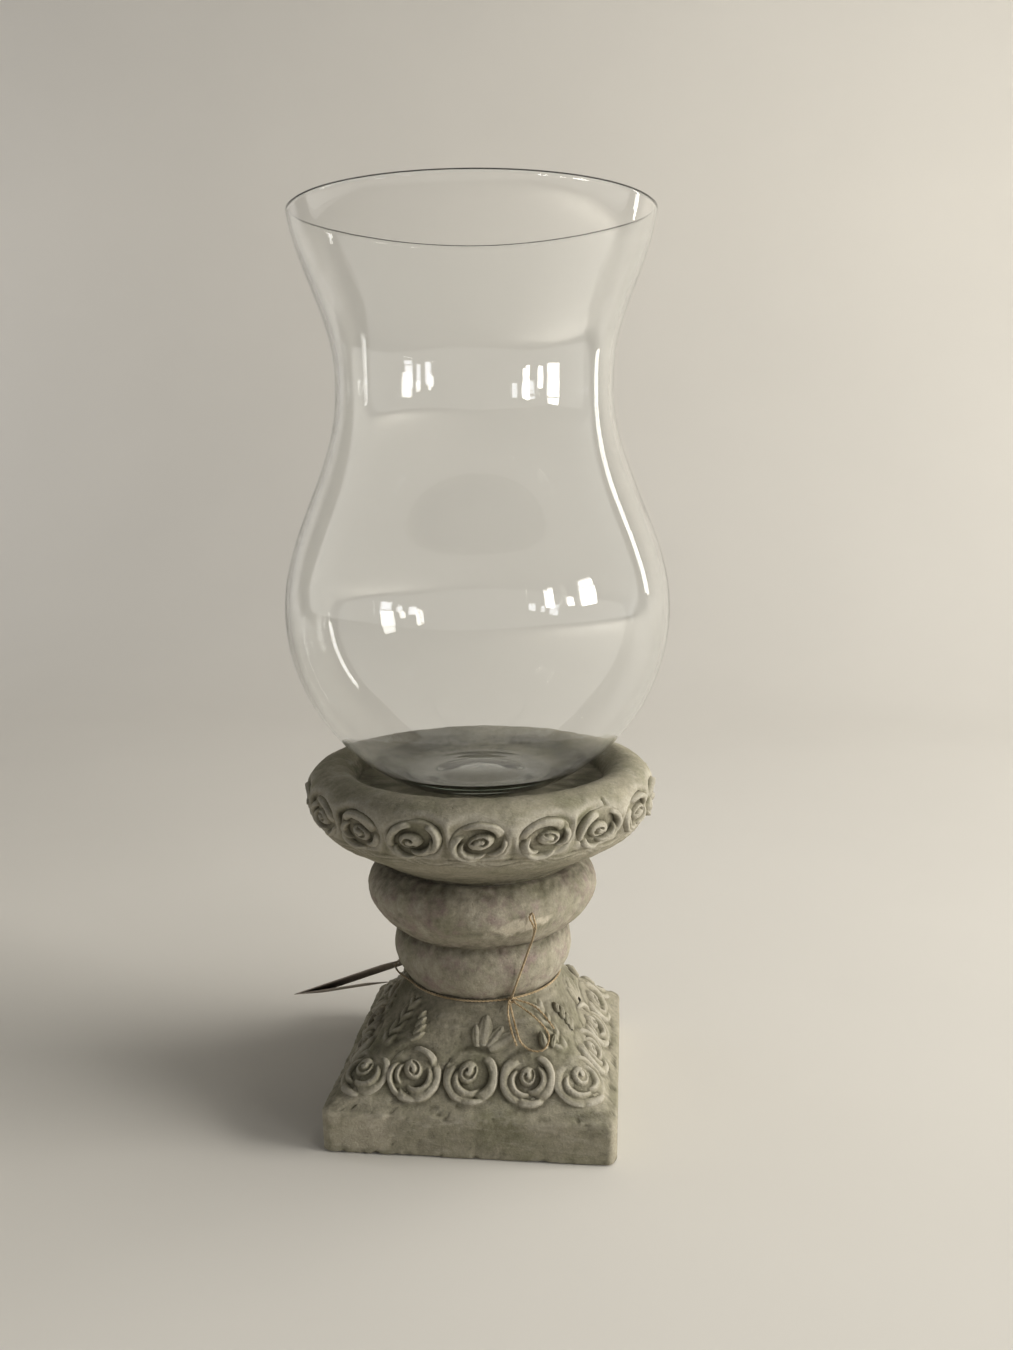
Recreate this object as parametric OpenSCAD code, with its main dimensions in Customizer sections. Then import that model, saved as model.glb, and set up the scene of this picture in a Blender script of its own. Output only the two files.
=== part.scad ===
// Hurricane candle lantern: a blown-glass chimney standing in the dish of a cast-stone pedestal,
// with a twine bow and a blank folded card tied round the neck.
// Millimetres, +Z up, the front faces -Y. The origin is the centre of the plinth's underside.

/* [Plinth] */
// Side of the square slab
plinth_w = 148; // [120:1:180]
// Height of the slab's upright faces
slab_h = 23; // [15:1:30]
// Radius of the slab's upright corners
slab_corner_r = 5; // [2:0.5:9]
// Ledge between the slab's edge and the foot of the slope
slope_ledge = 3; // [1:0.5:6]
// Height of the sloping top above the slab
slope_h = 45; // [38:1:55]
// How far the slope hollows inwards from a straight line
slope_sag = 4; // [1:0.5:7]
// How full the four ridges stay towards the neck
ridge_fullness = 0.45; // [0.42:0.01:0.6]

/* [Roses] */
// Radius of a rose at its foot
rose_r = 13; // [9:0.5:14]
// Height of a rose above the stone round it
rose_relief = 3; // [1:0.5:4]
// Roses along each side of the plinth between its corners
side_roses = 3; // [1:1:4]
// Height of the plinth's row of roses above the slab
side_rose_rise = 14; // [12:1:18]
// Roses round the rim of the dish
rim_roses = 18; // [12:1:20]
// Turn of the dish's roses against the plinth's front
rim_rose_turn = 6.5; // [0:0.5:20]

/* [Baluster] */
// Radius of the neck between the plinth and the baluster
neck_r = 41; // [36:0.5:45]
// Thickness of each bed of mortar
mortar_h = 2; // [1:0.5:4]
// Radius of the baluster's lower ring at its widest
lower_ring_r = 48; // [46:0.5:54]
// Height of the lower ring
lower_ring_h = 28; // [22:1:34]
// Radius of the groove between the two rings
groove_r = 44.5; // [42:0.5:45.5]
// Radius of the baluster's upper ring at its widest
upper_ring_r = 61.5; // [56:0.5:66]
// Height of the upper ring
upper_ring_h = 36; // [30:1:44]

/* [Dish] */
// Radius of the dish's foot
dish_foot_r = 52; // [46:0.5:55]
// Height of the dish from its foot to the crest of its lip
dish_h = 51; // [46:1:60]
// Radius of the lip's roll
lip_r = 13.4; // [10:0.2:15]
// Radius from the axis to the centre of the lip's roll
lip_centre_r = 77.5; // [74:0.5:84]
// Depth of the flat seat below the crest of the lip
dish_depth = 10.8; // [6:0.2:16]

/* [Glass] */
// Greatest radius of the glass's belly
belly_r = 98.5; // [90:0.5:104]
// Radius of the glass's flat foot
glass_foot_r = 39; // [30:0.5:45]
// Radius of the waist
waist_r = 69.4; // [60:0.2:76]
// Outer radius of the rim
glass_rim_r = 90.3; // [84:0.5:96]
// Height from the centre of the belly to the waist
belly_to_waist = 110; // [90:1:130]
// Height from the waist to the top of the rim
waist_to_rim = 84; // [70:1:100]
// Thickness of the blown wall
glass_wall = 2.4; // [1.6:0.1:3.5]
// Thickness of the glass's base at the edge of its floor
glass_base_t = 6; // [4:0.5:10]
// Radius of the bead round the rim
bead_r = 1.6; // [1:0.1:2.2]
// Radius of the hollow pushed up under the base
kick_r = 23; // [15:0.5:28]
// Depth of that hollow
kick_depth = 2.4; // [1:0.2:3.5]

/* [Twine] */
// Diameter of the twine
twine_d = 1.2; // [0.9:0.1:1.6]
// Width of the knot
knot_w = 4.4; // [3.6:0.2:6]

/* [Card] */
// Distance from the hole to the fold
card_len = 55; // [40:1:65]
// Length of the lower leaf from the fold
lower_leaf_len = 42; // [30:1:45]
// Width of the card
card_w = 34; // [24:1:40]
// Thickness of the card
card_t = 0.5; // [0.4:0.1:0.8]
// Diameter of the punched hole
card_hole_d = 6; // [5:0.5:7]
// Length clipped off the two corners by the hole
corner_clip = 8; // [5:1:11]
// Angle between the two leaves
card_open = 9; // [6:0.5:14]
// Fall of the upper leaf from its hole to its fold
card_droop = 21; // [12:1:24]
// Turn of the card about its own length
card_roll = 25; // [18:1:30]

/* [Fits] */
// Gap between the glass's foot and its seat
seat_gap = 0.3; // [0.1:0.1:0.6]
// Gap between the twine and the stone that it lies on
twine_gap = 0.3; // [0.2:0.1:0.6]

/* [Hidden] */
$fn = 96;
over = 1;

// Levels up the pedestal
slope_foot_w = plinth_w / 2 - slope_ledge;
plinth_h = slab_h + slope_h;
baluster_z = plinth_h + mortar_h;
baluster_h = lower_ring_h + upper_ring_h;
groove_z = baluster_z + lower_ring_h;
baluster_top_z = baluster_z + baluster_h;
dish_z = baluster_top_z + mortar_h;
crest_z = dish_z + dish_h;
lip_z = crest_z - lip_r;
seat_z = crest_z - dish_depth;
mortar_inset = 0.5;
slope_steps = 8;
slope_skin = 0.5;
ring_evenness = 19;

// Levels up the glass
glass_z = seat_z + seat_gap;
belly_z = glass_z + sqrt(belly_r * belly_r - glass_foot_r * glass_foot_r);
waist_z = belly_z + belly_to_waist;
rim_z = waist_z + waist_to_rim;
flare_start = 0.07;
flare_reach = 0.9;
bead_proud = 0.6;
glass_floor_z = glass_z + glass_base_t;

// Twine: the band's height, the bulge that carries the card, and its two radii
twine_z = plinth_h + mortar_h / 2;
band_r = neck_r + twine_gap + twine_d / 2;
hole_margin = 2.5;
card_clear = 1.2;
band_bulge = card_hole_d / 2 + hole_margin + card_clear;
bulge_half_angle = 34;
band_rings = 30;
knot_bite = 0.4;
knot_at = band_r + knot_w / 2 - knot_bite;
knot_turn = 26;
twine_sides = 8;
loop_steps = 2;

// Routes of the bow, as points on the twine's centre line
up_loop_route = [
    [19.4, -40.4, 70.2], [22, -44.6, 79.4], [28.6, -47.2, 98.8], [33.2, -57.4, 115],
    [32.6, -57.6, 120.8], [31.6, -56.2, 123.2], [30.2, -54.6, 120], [32.4, -53.6, 113],
    [28.2, -44.8, 97.6], [21.8, -42.8, 78.4], [19, -38.8, 70.6]
];
down_loop_route = [
    [18.6, -41, 67.6], [22.8, -48.2, 56], [25.6, -51.6, 51.6], [31, -53.6, 49],
    [37, -53, 49.8], [39, -48.8, 55.4], [32, -44.8, 62.4], [20.8, -40, 68.2]
];
left_tail_route = [[18, -40.8, 69.6], [18.2, -46, 64], [20.4, -49.8, 56.4], [23, -52.2, 50.6]];
right_tail_route = [[21, -39, 69.4], [30, -40, 67], [36, -42.2, 63], [41.5, -45.8, 57.5]];

// Card: the hole's place on the band, and each leaf's own turn
card_pivot = [-(band_r + band_bulge), 0, twine_z];
card_inner = card_hole_d / 2 + hole_margin;

// Points of an arc about a centre
function arc_points(centre, radius, from, to, steps) =
    [for (i = [0:steps]) let (a = from + (to - from) * i / steps)
        centre + radius * [cos(a), sin(a)]];

// A bulging ring's profile between two radii at its ends and one at its widest, which lies
// nearer the wider end
function ring_points(r_low, r_wide, r_high, z_low, z_high, steps) =
    let (
        lean = (r_high - r_low) / (r_wide - min(r_low, r_high) + ring_evenness),
        z_wide = z_low + (z_high - z_low) * (1 + lean) / 2
    )
    [for (i = [0:steps])
        let (
            z = z_low + (z_high - z_low) * i / steps,
            below = z < z_wide,
            t = below ? (z_wide - z) / (z_wide - z_low) : (z - z_wide) / (z_high - z_wide),
            r_end = below ? r_low : r_high
        )
        [r_end + (r_wide - r_end) * (1 - pow(t, 2)), z]];

// Outer radius of the glass at a height above the belly's centre
function glass_r(z) =
    z < belly_z ? sqrt(max(0, belly_r * belly_r - pow(belly_z - z, 2)))
    : z < waist_z ? waist_r + (belly_r - waist_r) * (1 + cos(180 * (z - belly_z) / belly_to_waist)) / 2
    : let (
        t = max(0, (z - waist_z) / waist_to_rim - flare_start) / (1 - flare_start),
        flare_r = glass_rim_r - bead_proud
    )
    waist_r + (flare_r - waist_r) * (1 - cos(180 * flare_reach * t)) / (1 - cos(180 * flare_reach));

// A point on a smooth curve through a route, at step t of the stretch that starts at point i
function on_route(p, i, t) =
    let (
        last = len(p) - 1,
        a = p[max(i - 1, 0)], b = p[i], c = p[min(i + 1, last)], d = p[min(i + 2, last)]
    )
    0.5 * (2 * b + (c - a) * t + (2 * a - 5 * b + 4 * c - d) * t * t + (3 * b - a - 3 * c + d) * pow(t, 3));

function smooth_route(p, steps) = [
    for (i = [0:len(p) - 2]) for (k = [0:steps - 1]) on_route(p, i, k / steps),
    p[len(p) - 1]
];

function unit(v) = v / norm(v);

// One ring of a tube, square to the route at point i. It is set out from a level line that lies
// at an angle to the radius, and that no stretch of the route runs along.
function tube_ring(p, i, radius, closed, level_turn) =
    let (
        n = len(p),
        ahead = closed ? p[(i + 1) % n] : p[min(i + 1, n - 1)],
        behind = closed ? p[(i + n - 1) % n] : p[max(i - 1, 0)],
        along = unit(ahead - behind),
        bearing = atan2(p[i][1], p[i][0]) + level_turn,
        out = [cos(bearing), sin(bearing), 0],
        side = unit(cross(along, out)),
        up = cross(side, along)
    )
    [for (k = [0:twine_sides - 1]) let (a = 360 * k / twine_sides)
        p[i] + radius * (cos(a) * side + sin(a) * up)];

module tube(p, radius, closed = false, level_turn = 0) {
    n = len(p);
    m = twine_sides;
    spans = closed ? n : n - 1;
    points = [for (i = [0:n - 1]) each tube_ring(p, i, radius, closed, level_turn)];
    walls = [
        for (i = [0:spans - 1]) for (k = [0:m - 1])
            let (
                j = (i + 1) % n, l = (k + 1) % m,
                a = i * m + k, b = i * m + l, c = j * m + l, d = j * m + k
            )
            each [[a, b, c], [a, c, d]]
    ];
    ends = closed ? [] : [
        [for (k = [m - 1:-1:0]) k],
        [for (k = [0:m - 1]) (n - 1) * m + k]
    ];
    polyhedron(points = points, faces = concat(walls, ends), convexity = 6);
}

// A square with round corners
module round_square(w, r) {
    square([w, w - 2 * r], center = true);
    square([w - 2 * r, w], center = true);
    for (x = [-1, 1]) for (y = [-1, 1])
        translate([x * (w / 2 - r), y * (w / 2 - r)]) circle(r);
}

// A rose's body: a low disc of petals with a bud in the middle, its foot sunk in the stone
module rose() {
    sink = 5;
    petal_r = rose_r * 0.75;
    petal_h = rose_relief * 0.8;
    cup_r = rose_r * 0.45;
    cup_h = rose_relief * 0.7;
    bud_r = rose_r * 0.27;
    rotate_extrude()
        polygon([
            [0, -sink], [rose_r, -sink], [rose_r, 0], [petal_r, petal_h], [cup_r, cup_h],
            [bud_r, rose_relief], [0, rose_relief]
        ]);
}

// Half width of the slope at a height above the slab
function slope_w(rise) =
    let (t = rise / slope_h)
    slope_foot_w + (neck_r - slope_foot_w) * t - 4 * slope_sag * t * (1 - t) * slope_h
        / norm([slope_h, slope_foot_w - neck_r]);

module slope_prism() {
    side = [for (i = [0:slope_steps])
        let (h = slope_h * i / slope_steps) [slope_w(h) + slope_skin, slab_h + h]];
    mirrored = [for (i = [slope_steps:-1:0]) [-side[i][0], side[i][1]]];
    rotate([90, 0, 0])
        linear_extrude(height = plinth_w, center = true)
            polygon(concat([[slope_foot_w, slab_h - over], side[0]], side, mirrored,
                [[-slope_foot_w, slab_h - over]]));
}

module slope_ridges() {
    taper = 1.5;
    profile = [for (i = [0:slope_steps])
        let (t = i / slope_steps)
        [slope_w(slope_h * t) * (1 + ridge_fullness * (1 - pow(t, taper))), slab_h + slope_h * t]];
    rotate_extrude()
        polygon(concat([[0, slab_h - over], [profile[0][0], slab_h - over]], profile, [[0, plinth_h]]));
}

module plinth() {
    spacing = 2 * slope_w(side_rose_rise) / (side_roses + 1);
    reach = rose_r / 3;
    rose_tilt = atan2(slope_w(side_rose_rise - reach) - slope_w(side_rose_rise + reach), 2 * reach);
    corner_in = 7;
    rose_z = slab_h + side_rose_rise;
    color("#8f8b7c") {
        linear_extrude(height = slab_h) round_square(plinth_w, slab_corner_r);
        intersection() {
            slope_prism();
            rotate(90) slope_prism();
            slope_ridges();
        }
        for (side = [0:3]) rotate(90 * side) {
            for (i = [1:side_roses])
                translate([(i - (side_roses + 1) / 2) * spacing, -slope_w(side_rose_rise), rose_z])
                    rotate([90 - rose_tilt, 0, 0]) rose();
            rotate(45) translate([0, -slope_w(side_rose_rise) * sqrt(2) + corner_in, rose_z])
                rotate([90 - rose_tilt, 0, 0]) rose();
        }
    }
}

module neck_mortar() {
    color("#9a9486")
        translate([0, 0, plinth_h]) cylinder(r = neck_r - mortar_inset, h = mortar_h);
}

module baluster() {
    steps = 14;
    color("#8c877a")
        rotate_extrude()
            polygon(concat(
                [[0, baluster_z]],
                ring_points(neck_r, lower_ring_r, groove_r, baluster_z, groove_z, steps),
                ring_points(groove_r, upper_ring_r, dish_foot_r + over, groove_z, baluster_top_z, steps),
                [[0, baluster_top_z]]
            ));
}

module dish_mortar() {
    color("#9a9486")
        translate([0, 0, baluster_top_z]) cylinder(r = dish_foot_r - mortar_inset, h = mortar_h);
}

module dish() {
    steps = 10;
    outer_r = lip_centre_r + lip_r;
    swell_r = lip_r * 2;
    swell_from = -68;
    lip_from = 15;
    rose_drop = 4;
    rose_fall = 9;
    seat_angle = asin((seat_z - lip_z) / lip_r);
    color("#95917f") {
        rotate_extrude()
            polygon(concat(
                [[0, dish_z], [dish_foot_r, dish_z]],
                arc_points([outer_r - swell_r, lip_z], swell_r, swell_from, 0, steps),
                arc_points([lip_centre_r, lip_z], lip_r, lip_from, 180 - seat_angle, steps),
                [[0, seat_z]]
            ));
        for (i = [0:rim_roses - 1])
            rotate(rim_rose_turn + i * 360 / rim_roses)
                translate([0, -outer_r + rose_relief, lip_z - rose_drop])
                    rotate([90 + rose_fall, 0, 0]) rose();
    }
}

module glass_chimney() {
    steps = 40;
    foot_bevel = 1.2;
    lip_top = rim_z - bead_r;
    floor_r = glass_foot_r + 2;
    floor_rise = 0.6;
    kick_round = 0.85;
    outer = [for (i = [0:steps])
        let (z = glass_z + foot_bevel + (lip_top - glass_z - foot_bevel) * i / steps) [glass_r(z), z]];
    inner_z = glass_floor_z + 2 * glass_wall;
    inner = [for (i = [steps:-1:0])
        let (z = inner_z + (lip_top - inner_z) * i / steps) [glass_r(z) - glass_wall, z]];
    color("#dfe9e4", 0.35)
        rotate_extrude()
            polygon(concat(
                [[0, glass_z + kick_depth], [kick_r / 2, glass_z + kick_depth * kick_round]],
                [[kick_r, glass_z]],
                [[glass_foot_r - foot_bevel, glass_z]],
                outer,
                arc_points([glass_rim_r - bead_r, lip_top], bead_r, 0, 180, 8),
                inner,
                [[floor_r, glass_floor_z], [kick_r, glass_floor_z + floor_rise]],
                [[0, glass_floor_z + floor_rise + kick_depth / 2]]
            ));
}

module twine_band() {
    points = [for (i = [0:band_rings - 1])
        let (
            a = 360 * i / band_rings,
            off = min(abs(a - 180), bulge_half_angle) / bulge_half_angle,
            r = band_r + band_bulge * pow(cos(90 * off), 2)
        )
        [r * cos(a), r * sin(a), twine_z]];
    color("#a58a5f") tube(points, twine_d / 2, closed = true);
}

module twine_knot() {
    color("#9c7f55")
        rotate(knot_turn) translate([0, -knot_at, twine_z])
            sphere(d = knot_w, $fn = 48);
}

module bow_loop_up() {
    color("#a58a5f") tube(smooth_route(up_loop_route, loop_steps), twine_d / 2, level_turn = 90);
}

module bow_loop_down() {
    color("#a58a5f") tube(smooth_route(down_loop_route, loop_steps), twine_d / 2);
}

module bow_tail_left() {
    color("#a58a5f") tube(smooth_route(left_tail_route, loop_steps), twine_d / 2);
}

module bow_tail_right() {
    color("#a58a5f") tube(smooth_route(right_tail_route, loop_steps), twine_d / 2);
}

// The folded card seen from its edge: the upper leaf, the nose of the fold and the lower leaf
function card_profile() =
    let (
        half = card_t / 2,
        back = [cos(card_open), -sin(card_open)],
        below = half * [-sin(card_open), -cos(card_open)],
        fold = [-card_len, 0],
        tip = fold + lower_leaf_len * back,
        crotch = half * (1 + cos(card_open)) / sin(card_open)
    )
    [
        [card_inner, half], fold + [0, half], fold - [card_t, half / 2], fold + below,
        tip + below, tip - below, fold - below + crotch * back, [card_inner, -half]
    ];

// The card from above, with its two corners by the hole clipped
function card_outline() =
    let (half = card_w / 2, far = card_len + 2 * card_t)
    [
        [-far, -half], [card_inner - corner_clip, -half], [card_inner, corner_clip - half],
        [card_inner, half - corner_clip], [card_inner - corner_clip, half], [-far, half]
    ];

module hang_tag() {
    color("#b5aa9c")
        translate(card_pivot) rotate([0, -card_droop, 0]) rotate([-card_roll, 0, 0])
            difference() {
                intersection() {
                    rotate([90, 0, 0])
                        linear_extrude(height = card_w + over, center = true) polygon(card_profile());
                    linear_extrude(height = card_w, center = true) polygon(card_outline());
                }
                cylinder(d = card_hole_d, h = card_t * 4, center = true);
            }
}

plinth();
neck_mortar();
baluster();
dish_mortar();
dish();
glass_chimney();
twine_band();
twine_knot();
bow_loop_up();
bow_loop_down();
bow_tail_left();
bow_tail_right();
hang_tag();
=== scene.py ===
"""Hurricane candle lantern: blown glass on a cast-stone pedestal with a twine bow and a card."""

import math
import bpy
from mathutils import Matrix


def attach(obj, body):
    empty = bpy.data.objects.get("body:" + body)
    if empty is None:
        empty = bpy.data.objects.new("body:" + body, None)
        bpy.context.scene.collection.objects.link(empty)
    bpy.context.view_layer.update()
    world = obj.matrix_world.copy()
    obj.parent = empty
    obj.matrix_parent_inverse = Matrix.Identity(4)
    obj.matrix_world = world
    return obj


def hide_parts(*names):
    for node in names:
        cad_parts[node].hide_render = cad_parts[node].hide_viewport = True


bl_info = {
    "name": "Hurricane candle lantern",
    "version": (1, 0, 0),
    "blender": (4, 5, 0),
    "location": "3D View > Sidebar > Lantern",
    "description": "Builds a glass lantern on a rose-carved cast-stone pedestal",
    "category": "Object",
}

import bmesh
import bpy
import numpy as np
from bpy.props import FloatProperty, IntProperty, PointerProperty, StringProperty
from mathutils import Matrix, Vector, noise

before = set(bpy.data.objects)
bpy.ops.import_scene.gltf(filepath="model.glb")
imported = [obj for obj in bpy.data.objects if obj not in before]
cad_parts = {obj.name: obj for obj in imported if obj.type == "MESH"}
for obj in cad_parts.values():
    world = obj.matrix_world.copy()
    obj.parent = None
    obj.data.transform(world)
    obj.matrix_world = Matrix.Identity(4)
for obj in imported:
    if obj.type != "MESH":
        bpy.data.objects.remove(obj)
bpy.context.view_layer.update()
MM = 0.001
UP = Vector((0, 0, 1))


# ---------------------------------------------------------------- sizes and colours


def linear(code):
    """A linear colour from an sRGB hex code."""
    channels = [int(code[i : i + 2], 16) / 255 for i in (1, 3, 5)]
    return [c / 12.92 if c <= 0.04045 else ((c + 0.055) / 1.055) ** 2.4 for c in channels] + [1.0]


class LanternSizes(bpy.types.PropertyGroup):
    """Sizes of the detail that the frame doesn't hold, in metres"""

    rose_radius: FloatProperty(
        name="Rose radius", description="Radius of a rose on the plinth", default=0.0138, unit="LENGTH"
    )
    rim_rose_radius: FloatProperty(
        name="Rim rose radius",
        description="Half the width of a rose on the dish",
        default=0.0136,
        unit="LENGTH",
    )
    rim_roses: IntProperty(name="Rim roses", description="Roses round the dish", default=18, min=12, max=20)
    leaf_length: FloatProperty(
        name="Leaf length", description="Length of a carved leaf", default=0.010, unit="LENGTH"
    )
    glass_wall: FloatProperty(
        name="Glass wall", description="Thickness of the blown wall", default=0.0024, unit="LENGTH"
    )
    twine_diameter: FloatProperty(
        name="Twine diameter", description="Diameter over both plies", default=0.0012, unit="LENGTH"
    )
    twine_lay: FloatProperty(
        name="Twine lay", description="Length of one full turn of the plies", default=0.0042, unit="LENGTH"
    )


class LanternColours(bpy.types.PropertyGroup):
    """Colours as sRGB hex codes"""

    stone: StringProperty(name="Stone", description="Main tone of the stone", default="#97917f")
    rings: StringProperty(name="Rings", description="Main tone of the turned rings", default="#a29b8a")
    # Painted shade: this tone darkens the stone where it is sunk, in its grooves and under other parts.
    hollow: StringProperty(name="Hollows", description="Shading that stays in the hollows", default="#433f31")
    # Partly a painted highlight: besides rubbed streaks, this tone lightens proud crests and edges.
    worn: StringProperty(name="Worn edges", description="Rubbed crests and edges", default="#b7b1a3")
    chip: StringProperty(name="Chips", description="Bare stone in chips and scuffs", default="#c4bba8")
    lichen: StringProperty(name="Green patches", description="Olive weathering", default="#75735c")
    rose_patch: StringProperty(name="Mauve patches", description="Pink cast of the rings", default="#9a8782")
    mortar: StringProperty(name="Mortar", description="Bedding between castings", default="#847d6c")
    glass: StringProperty(name="Glass", description="Tint of the glass's surface", default="#ffffff")
    glass_depth: StringProperty(name="Thick glass", description="Tint that depth gives", default="#a9c2ae")
    twine: StringProperty(name="Twine", description="Natural jute", default="#b9a381")
    twine_dark: StringProperty(name="Dark twine", description="Darker lengths of jute", default="#85714f")
    card: StringProperty(name="Card", description="Uncoated card", default="#b5aa9d")
    card_pulp: StringProperty(name="Card pulp", description="Darker clouds in the card", default="#a0958a")
    wall: StringProperty(name="Backdrop", description="Pale plaster tone", default="#d3cfc7")


def sizes():
    return bpy.context.scene.lantern_sizes


def colours():
    return bpy.context.scene.lantern_colours


# ---------------------------------------------------------------- nodes and meshes


def add(tree, kind, inputs=None, **settings):
    """Adds a node with its settings; an input takes a value or another node's socket. Where inputs
    go by number, a Map Range's 1 to 4 are its From and To limits, and a Mix of colours has its
    share at 0 and its colours at 6 and 7."""
    node = tree.nodes.new(kind)
    for name, value in settings.items():
        setattr(node, name, value)
    for key, value in (inputs or {}).items():
        if isinstance(value, bpy.types.NodeSocket):
            tree.links.new(value, node.inputs[key])
        else:
            node.inputs[key].default_value = value
    return node


def new_material(name):
    """An empty node material and its tree."""
    material = bpy.data.materials.new(name)
    material.use_nodes = True
    material.node_tree.nodes.clear()
    return material, material.node_tree


def placed(name, data):
    """A new object in the scene."""
    obj = bpy.data.objects.new(name, data)
    bpy.context.scene.collection.objects.link(obj)
    return obj


def mesh_object(name, points, faces, marks=None):
    """A smooth-shaded object from arrays, with float attributes on its points."""
    mesh = bpy.data.meshes.new(name)
    mesh.from_pydata([tuple(p) for p in points], [], faces)
    mesh.validate()
    for key, values in (marks or {}).items():
        layer = mesh.attributes.new(key, "FLOAT", "POINT")
        layer.data.foreach_set("value", np.asarray(values, dtype=np.float32).ravel())
    mesh.shade_smooth()
    return placed(name, mesh)


def polyline(name, points, closed=False):
    """A curve object of one straight-sided spline through points in metres."""
    data = bpy.data.curves.new(name, "CURVE")
    data.dimensions = "3D"
    spline = data.splines.new("POLY")
    spline.points.add(len(points) - 1)
    for point, at in zip(spline.points, points):
        point.co = (*at, 1)
    spline.use_cyclic_u = closed
    return placed(name, data)


def new_tree(name, inputs, output):
    """A Geometry Nodes tree with named inputs and one output, and the sockets of its inputs."""
    tree = bpy.data.node_groups.new(name, "GeometryNodeTree")
    for label, kind, value in inputs:
        socket = tree.interface.new_socket(label, in_out="INPUT", socket_type="NodeSocket" + kind)
        if value is not None:
            socket.default_value = value
    tree.interface.new_socket(output, in_out="OUTPUT", socket_type="NodeSocketGeometry")
    return tree, add(tree, "NodeGroupInput").outputs


def ended(tree, geometry, material):
    """The tree with its last nodes: its instances made real, and the material set."""
    real = add(tree, "GeometryNodeRealizeInstances", {"Geometry": geometry})
    coloured = add(tree, "GeometryNodeSetMaterial", {"Geometry": real.outputs[0], "Material": material})
    add(tree, "NodeGroupOutput", {0: coloured.outputs[0]})
    return tree


def evaluated(obj, tree, **inputs):
    """The plain mesh that a Geometry Nodes tree makes on an object; the modifier is removed."""
    modifier = obj.modifiers.new("grow", "NODES")
    modifier.node_group = tree
    names = {s.name: s.identifier for s in tree.interface.items_tree if s.in_out == "INPUT"}
    for label, value in inputs.items():
        modifier[names[label.replace("_", " ")]] = value
    bpy.context.view_layer.update()
    graph = bpy.context.evaluated_depsgraph_get()
    mesh = bpy.data.meshes.new_from_object(obj.evaluated_get(graph), depsgraph=graph)
    obj.modifiers.remove(modifier)
    mesh.shade_smooth()
    return mesh


def grown(holder, tree, **inputs):
    """Runs a Geometry Nodes tree on a mesh object and keeps the result in it."""
    mesh, old = evaluated(holder, tree, **inputs), holder.data
    holder.data = mesh
    bpy.data.meshes.remove(old)
    return holder


def turned_faces(rows, columns):
    """Faces of a turned grid that is closed round and at both poles; the poles come last."""
    start, end = rows * columns, rows * columns + 1
    faces = []
    for j in range(columns):
        k = (j + 1) % columns
        faces.append((start, k, j))
        last = (rows - 1) * columns
        faces.append((end, last + j, last + k))
        faces += [
            (i * columns + j, i * columns + k, (i + 1) * columns + k, (i + 1) * columns + j)
            for i in range(rows - 1)
        ]
    return faces


def travelled(outline):
    """Distance of each point of an (r, z) outline from its start."""
    return np.concatenate([[0], np.cumsum(np.hypot(*np.diff(outline, axis=0).T))])


def evened(outline, step):
    """An (r, z) outline resampled so that its points lie about one step apart."""
    outline = np.asarray(outline, float)
    places = travelled(outline)
    count = max(2, int(round(places[-1] / step)))
    at = np.linspace(0, places[-1], count + 1)
    return np.stack([np.interp(at, places, outline[:, k]) for k in (0, 1)], axis=1)


def grain(points, size, seed, octaves=3):
    """Fractal noise from about -1 to 1 at points in mm, with features of a size in mm."""
    shift = Vector((seed * 3.7, seed * 1.9, seed * 5.3))
    return np.array([noise.fractal(Vector(p) / size + shift, 0.9, 2.1, octaves) for p in points])


def blurred(height, reach_rows, reach_columns):
    """A grid of heights averaged over a window; it wraps round the columns."""
    wide, tall = 2 * reach_columns + 1, 2 * reach_rows + 1
    out = np.zeros_like(height)
    for j in range(-reach_columns, reach_columns + 1):
        out += np.roll(height, j, axis=1)
    out /= wide
    padded = np.pad(out, ((reach_rows, reach_rows), (0, 0)), mode="edge")
    return sum(padded[i : i + len(out)] for i in range(tall)) / tall


def sunk(height):
    """How far each point of a grid of heights in mm lies under its surroundings, from -1 to 1."""
    near, far = blurred(height, 2, 2) - height, blurred(height, 7, 7) - height
    return np.clip(near / 0.8 + far / 1.7, -1, 1)


def hill(x, width):
    """A bell curve, 1 at 0."""
    return np.exp(-((x / width) ** 2))


def arc(centre, radius, start, stop, steps=16):
    """Points on an arc, angles in degrees."""
    angles = np.radians(np.linspace(start, stop, steps + 1))
    return [(centre[0] + radius * math.cos(a), centre[1] + radius * math.sin(a)) for a in angles]


def smoothed(x):
    """0 below 0, 1 above 1, and a smooth step between."""
    x = np.clip(x, 0, 1)
    return x * x * (3 - 2 * x)


def bump(distance, width):
    """A round-topped ridge of half width `width`, 1 at its crest."""
    return np.sqrt(np.clip(1 - (distance / width) ** 2, 0, 1))


# ---------------------------------------------------------------- finishes


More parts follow.
